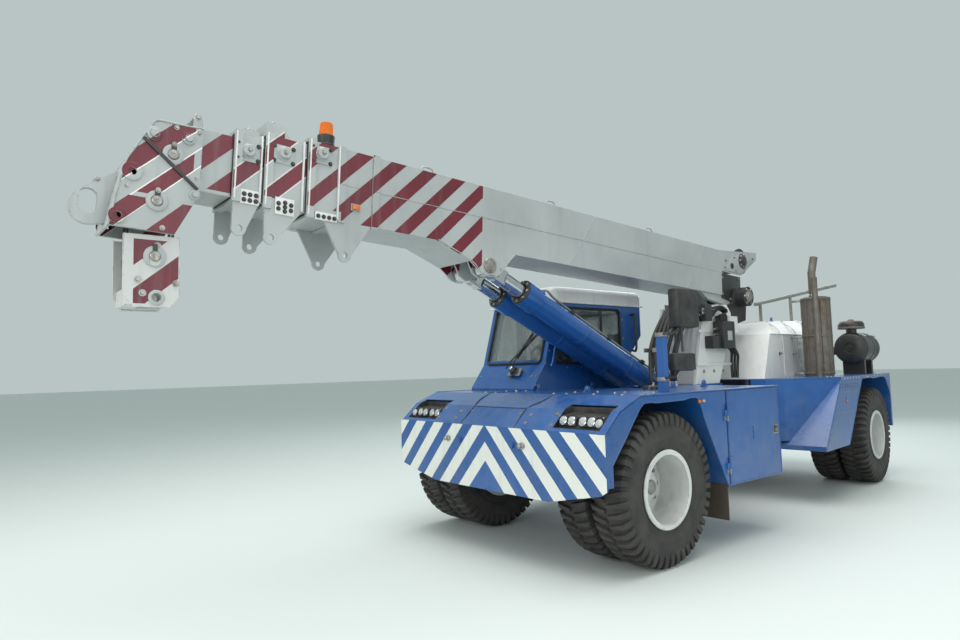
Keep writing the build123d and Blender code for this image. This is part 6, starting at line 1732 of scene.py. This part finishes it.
hood = Bench("hood_fittings", "rear_chassis", REAR, "white_paint").finish("white")
for x in (-3.31, -3.8, -4.43):
    top = hood_top(x) + 0.001
    shoulder = 2.376 - top
    half = [(x, 0.619, 1.3), (x, 0.6, 1.76), (x, shoulder + 0.012, top - 0.012), (x, shoulder - 0.012, top)]
    hood.pipe(half + [(x, 0.0, top)] + [(x, -y, z) for x, y, z in reversed(half)], 0.006, 6)
for _ in hood.sides():
    hood.pipe(at_y(0.603, (-3.0, 1.772), (-3.6, 1.774), (-4.2, 1.774), (-4.77, 1.774)), 0.006, 6)
    hood.finish("steel")
    for x in (-3.2, -3.62):
        hood.turned((x, 0.612, 1.55), LEFT, mm((22, 0), (22, 4), (12, 6), (12, 20), (0, 20)), 16)
        hood.rod((x - 0.032, 0.634, 1.55), (x + 0.032, 0.634, 1.55), 0.006, sides=10)
    hood.finish("white")
hood.finish("blue")
for x in (-3.4, -4.6):
    z = hood_top(x) - 0.004
    hood.plate(
        [
            (x - 0.04, z), (x + 0.04, z), (x + 0.032, z + 0.067), (x + 0.012, z + 0.081),
            (x - 0.012, z + 0.081), (x - 0.032, z + 0.067)], -0.006, 0.006)
hood.done()
latches = Bench("engine_door_fittings", "engine_door", REAR).finish("steel")
latches.turned((-4.33, 0.61, 1.54), (0, 1, 0.05), mm((24, 0), (24, 5), (12, 7), (12, 22), (0, 22)), 16)
latches.rod((-4.365, 0.633, 1.54), (-4.295, 0.633, 1.54), 0.007, sides=10)
for z in (1.42, 1.65):
    latches.rod(
        (-3.838, 0.63 - 0.045 * (z - 1.33), z - 0.035), (-3.838, 0.63 - 0.045 * (z - 1.33), z + 0.035),
        0.009, sides=12)
latches.done()
louvres(
    "hood_right_louvres", "rear_chassis", REAR, (-3.9, -0.6145, 1.4), 0.075, 0.02, 0.014, 5, 9,
    (-0.095, 0, 0), (0, 0.00044, 0.034), "white", "white_paint", -1)
louvres(
    "radiator_louvres", "rear_chassis", REAR, (-4.781, -0.4, 1.34), 0.105, 0.026, 0.014, 8, 14,
    (0, 0.114, 0), (0, 0, 0.038), "black", "black_paint", -1, "y")
stack = Bench("muffler_shield", "rear_chassis", REAR, "exhaust_steel")
STACK_X, STACK_Y = -3.61, 0.89
stack.finish("exhaust")
for z, tall in ((1.3, 0.03), (1.73, 0.02), (2.15, 0.03)):
    stack.turned(
        (STACK_X, STACK_Y, z), UP,
        [
            (0.15, 0), (0.158, 0.002), (0.16, 0.006), (0.16, tall - 0.006), (0.158, tall - 0.002),
            (0.15, tall)], 40)
for x, y in ring_points(0.1525, 12, 0.13):
    stack.rod((STACK_X + x, STACK_Y + y, 1.325), (STACK_X + x, STACK_Y + y, 2.155), 0.0065, sides=8)
stack.finish("steel")
for z in (1.315, 1.74, 2.165):
    stack.rod(
        (STACK_X + 0.15, STACK_Y + 0.06, z - 0.005), (STACK_X + 0.185, STACK_Y + 0.06, z - 0.005), 0.01,
        sides=8)
    stack.lump((STACK_X, STACK_Y - 0.2125, z - 0.004), (0.04, 0.145, 0.028))
stack.finish("chrome").turned((-3.55, 0.89, 2.195), UP, mm((42.5, 0), (46, 4), (46, 20), (42.5, 24)), 32)
stack.done()
cleaner = Bench("air_cleaner_bands", "rear_chassis", REAR, "black_paint")
for x in (-4.86, -4.72, -4.47):
    cleaner.finish("black").turned(
        (x, 1.0, 1.6), AHEAD, mm((187, 0), (192, 2), (193, 6), (193, 26), (192, 30), (187, 32)), 48)
    cleaner.finish("steel").rod(
        (x + 0.016, 1.0 + 0.125, 1.6 + 0.16), (x + 0.016, 1.0 + 0.165, 1.6 + 0.14), 0.008, sides=8)
cleaner.finish("black").turned(
    (-4.4, 1.0, 1.6), AHEAD,
    mm((172, -2), (172, 10), (150, 20), (70, 24), (66, 14), (30, 14), (26, 30), (0, 30)), 40)
cleaner.finish("exhaust").turned((-4.49, 1.0, 1.832), UP, mm((146, 4), (149, 10), (149, 22), (146, 28)), 36)
cleaner.turned((-4.49, 1.0, 1.916), UP, mm((134, -4), (120, 12), (40, 22), (30, 34), (18, 38), (0, 38)), 36)
cleaner.finish("hose").pipe(
    [
        (-4.935, 1.0, 1.6), (-4.985, 0.985, 1.6), (-5.02, 0.9, 1.6), (-5.01, 0.8, 1.59), (-4.93, 0.7, 1.58),
        (-4.8, 0.6, 1.57)], 0.052, 14, ribs=0.06)
cleaner.done()

# %% [markdown]
# The tail carries clusters of round lamps, a number plate without a number, a tow pin with a ring and
# rows of bolts through the counterweight. Such plain parts still decide how real the back looks.

# %% Tail lamps, plate, tow pin and weight bolts
back = Bench("tail_fittings", "rear_chassis", REAR, "black_paint")
for _ in back.sides():
    back.finish("black").lump((-5.256, 0.83, 1.015), (0.012, 0.29, 0.12), 0.004)
    for k, lens in enumerate(("red_lens", "orange", "clear_lens")):
        y = (0.925 - 0.095 * k)
        back.finish("lamp_body").turned(
            (-5.2605, y, 1.015), (-1, 0, 0), mm((43, 0), (43, 8), (39, 10), (37, 6)), 28)
        back.finish(lens).turned(
            (-5.2665, y, 1.015), (-1, 0, 0), mm((37, 0), (35, 7), (20, 12.5), (0, 14)), 28)
back.finish("steel").block((-5.256, -0.26, 0.965), (-5.25, 0.26, 1.075), 0.002)
back.finish("white").block((-5.2585, -0.25, 0.972), (-5.2555, 0.25, 1.068), 0.001)
back.finish("steel").turned(
    (-5.33, 0, 0.745), UP,
    mm((0, 0), (18, 0), (19, 3), (19, 160), (34, 162), (34, 172), (12, 176), (0, 176)), 20)
back.pipe(
    [
        (-5.33, 0.0, 0.918), (-5.33, 0.028, 0.936), (-5.33, 0.0, 0.954), (-5.33, -0.028, 0.936),
        (-5.33, 0.0, 0.918)], 0.005, 8)
back.done()
weight_bolts = [((-5.25, y, z), (-1, 0, 0)) for y in (-0.9, -0.6, -0.3, 0.3, 0.6, 0.9) for z in (0.7, 0.8)]
weight_bolts += [((-5.25, y, 1.135), (-1, 0, 0)) for y in (-0.9, -0.45, 0.0, 0.45, 0.9)]
bolts("weight_bolts", "rear_chassis", weight_bolts, REAR, (0.02, 0.014, 0.03))

# %% [markdown]
# The driver's seat is two foam cushions sewn into cloth covers. Foam under tight cloth bulges between
# its seams, and a cloth simulation gives that shape: a rounded block is remeshed into even cells, air
# pressure blows it up a little, and no point may move further than a set cap. The sewn channels are
# pressed in afterwards, because fine seams would vanish in the remesh.

# %% Padded seat cushions
SEAT_Y = -0.7575
seat_low, seat_high = (Vector(c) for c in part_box("driver_seat"))
SEAT_CELL, SEAT_CAP, SEAT_FRAMES = 0.009, 0.024, 20


def stuffed(name, low, high, lines, along_axis, out_axis):
    """A foam cushion between two corners in axle metres. lines are sewn channels along its top face."""
    bench = Bench(name)
    bench.finish("cloth").block(low, high, 0.03)
    rough = as_mesh(bench.form, name)
    rough.transform(FRONT)
    cushion = stand(name, rough)
    cells = cushion.modifiers.new("cells", "REMESH")
    cells.mode, cells.voxel_size, cells.use_smooth_shade = "VOXEL", SEAT_CELL, True
    cushion.data = frozen(cushion)
    cushion.modifiers.remove(cells)
    before = [v.co.copy() for v in cushion.data.vertices]
    cloth = cushion.modifiers.new("cloth", "CLOTH")
    cloth.settings.use_pressure, cloth.settings.uniform_pressure_force = True, 4.0
    cloth.settings.effector_weights.gravity = 0.0
    cloth.settings.quality = 4
    for frame_number in range(1, SEAT_FRAMES + 1):
        bpy.context.scene.frame_set(frame_number)
    swollen = frozen(cushion)
    for vertex, old, new in zip(cushion.data.vertices, before, swollen.vertices):
        move = new.co - old
        vertex.co = old + move * min(1.0, SEAT_CAP / max(move.length, 1e-6))
    cushion.modifiers.remove(cloth)
    bpy.context.scene.frame_set(1)
    middle = sum((v.co for v in cushion.data.vertices), Vector()) / len(cushion.data.vertices)
    for vertex in cushion.data.vertices:
        for line in lines:
            gap = vertex.co[along_axis] - (middle[along_axis] + line)
            pull = 0.01 * math.exp(-(gap / 0.011) ** 2)
            if vertex.co[out_axis] > middle[out_axis]:
                vertex.co[out_axis] -= pull
        vertex.co = Vector([min(max(c, a), b) for c, a, b in zip(vertex.co, seat_low, seat_high)])
    return cushion


pan = stuffed(
    "seat_pan", (-1.415, SEAT_Y - 0.222, 1.032), (-1.02, SEAT_Y + 0.222, 1.085), (-0.1, 0.0, 0.1), 0, 2)
rest = stuffed(
    "seat_back", (-1.432, SEAT_Y - 0.205, 1.15), (-1.372, SEAT_Y + 0.205, 1.665), (-0.14, -0.02, 0.1), 2, 0)
both_cushions = bmesh.new()
both_cushions.from_mesh(pan.data)
both_cushions.from_mesh(rest.data)
both_cushions.to_mesh(pan.data)
both_cushions.free()
bpy.data.objects.remove(rest)
pan.name = "driver_seat_cushions"
for polygon in pan.data.polygons:
    polygon.use_smooth = True
pan.data.materials.clear()
pan.data.materials.append(finishes["cloth"])
send(pan, "front_chassis", "seat_fabric", ["driver_seat"])
seat_frame = Bench("driver_seat_frame", slot="black_plastic").finish("plastic")
seat_frame.lump((-1.2175, SEAT_Y, 1.023), (0.405, 0.45, 0.022), 0.006)
seat_frame.lump((-1.439, SEAT_Y, 1.33), (0.022, 0.36, 0.62), 0.008)
seat_frame.finish("black")
for sign in (1, -1):
    seat_frame.lump((-1.24, SEAT_Y + sign * 0.19, 0.988), (0.38, 0.024, 0.052))
seat_frame.rod((-1.33, SEAT_Y - 0.31, 1.028), (-1.33, SEAT_Y + 0.31, 1.028), 0.012, sides=12)
seat_frame.done()

# %% [markdown]
# A cab needs a few things to look used: a dash with gauges, two joysticks on armrests and a pair of
# pedals. They are only seen through tinted glass or an open door, so a few simple parts are enough.

# %% Dash, gauges, levers, pedals, and the cab door's handle and hinges
dash = Bench("cab_instruments", slot="black_plastic").finish("plastic")
dash.plate([(-0.64, 1.3), (-0.47, 1.3), (-0.4, 1.38), (-0.42, 1.44), (-0.6, 1.42)], -1.12, -0.4, "y", 0.008)
for y in (-0.62, -0.74, -0.86, -0.98):
    dash.finish("chrome").turned(
        (-0.625, y, 1.362), (-0.96, 0, 0.28), mm((40, -4), (43, 4), (38, 8), (36, 4)), 24)
    dash.finish("clear_lens").turned((-0.625, y, 1.362), (-0.96, 0, 0.28), mm((36, 2), (30, 5), (0, 6)), 24)
for y in (SEAT_Y + 0.3, SEAT_Y - 0.3):
    dash.finish("plastic").lump((-1.19, y, 1.1675), (0.34, 0.1, 0.135), 0.012)
    dash.lump((-1.33, y, 1.065), (0.06, 0.06, 0.09), 0.006)
    dash.turned((-1.08, y, 1.232), UP, mm((34, 0), (30, 12), (22, 24), (12, 40), (10, 105), (0, 106)), 18)
    dash.turned((-1.08, y, 1.332), UP, mm((12, 0), (24, 12), (26, 50), (20, 75), (0, 82)), 20)
dash.finish("steel")
for y in (-0.66, -0.86):
    dash.lump((-0.694, y, 1.03), (0.012, 0.07, 0.1), 0.004, Matrix.Rotation(math.radians(-32), 3, "Y"))
    dash.pipe(at_y(y, (-0.695, 1.04), (-0.64, 1.12), (-0.6, 1.22), (-0.58, 1.31)), 0.008, 8)
dash.done()
handle = Bench("cab_door_handle", "cab_door", FRONT, "black_plastic")
handle.finish("plastic").block((-1.435, -1.222, 1.262), (-1.3, -1.2145, 1.318))
handle.finish("steel").pipe(
    [
        (-1.42, -1.22, 1.292), (-1.412, -1.2325, 1.292), (-1.37, -1.2325, 1.292), (-1.322, -1.2325, 1.292),
        (-1.314, -1.22, 1.292)], 0.006, 8)
handle.turned((-1.318, -1.2215, 1.276), (0, -1, 0), mm((10, 0), (10, 3), (4, 3), (0, 1)), 16)
handle.done()
hinges = Bench("cab_door_hinges", slot="blue_paint").finish("blue")
for z in (0.95, 1.75):
    hinges.rod((-0.828, -1.226, z - 0.05), (-0.828, -1.226, z + 0.05), 0.009, sides=12)
hinges.done()

# %% [markdown]
# A beacon is a ribbed amber lens on a black base. The engine behind the hood's side door only needs
# what a door opening shows: a valve cover, an exhaust manifold, two filters and a hose.

# %% Beacon base and ribs, engine dressing
beacon = Bench("beacon_details", "boom_base", BOOM, "orange_plastic")
beacon.finish("plastic").turned(
    (5.075, 0.15, 0.5), UP, mm((62, 0), (62, 10), (56.5, 16), (56.5, 60), (58.5, 66), (58.5, 74), (50, 78)),
    32)
beacon.finish("orange")
for (x0, y0), (x1, y1) in zip(ring_points(0.0465, 16), ring_points(0.0395, 16)):
    beacon.rod((5.075 + x0, 0.15 + y0, 0.576), (5.075 + x1, 0.15 + y1, 0.662), 0.0035, sides=6)
beacon.turned((5.075, 0.15, 0.6605), UP, mm((39.5, 0), (37, 3), (20, 4), (0, 4.2)), 32)
beacon.done()
engine = Bench("engine_dressing", "rear_chassis", REAR, "cast_grey").finish("cast")
engine.block((-4.18, -0.15, 1.618), (-3.12, 0.15, 1.69), 0.014)
engine.block((-4.1, 0.355, 1.02), (-3.3, 0.372, 1.5), 0.01)
for k in range(6):
    x = -4.05 + 0.15 * k
    engine.pipe([(x, 0.34, 1.48), (x, 0.4, 1.5), (x, 0.425, 1.45), (x + 0.03, 0.43, 1.38)], 0.026, 12)
engine.finish("exhaust").rod((-4.12, 0.43, 1.36), (-3.2, 0.43, 1.36), 0.038, 0.01)
for x in (-4.18, -4.02):
    engine.finish("white").turned(
        (x, 0.425, 0.985), UP, mm((0, 0), (42, 0), (50, 8), (50, 170), (42, 185), (30, 190), (0, 190)), 28)
engine.finish("hose").pipe(
    [(-4.27, 0.2, 1.5), (-4.36, 0.26, 1.52), (-4.45, 0.3, 1.46), (-4.5, 0.3, 1.3), (-4.52, 0.28, 1.1)],
    0.03, 12)
engine.done()

# %% [markdown]
# The last step compares the crane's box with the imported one. Nothing added here may make the machine
# longer, wider or taller than the CAD says it is.

# %% Measure and finish
low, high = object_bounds()
sizes = {
    "cad_low": list(cad_low), "cad_high": list(cad_high), "visual_low": list(low), "visual_high": list(high)}
print(
    "largest growth (mm):",
    round(1000 * max(max(cad_low[i] - low[i], high[i] - cad_high[i]) for i in range(3)), 1))
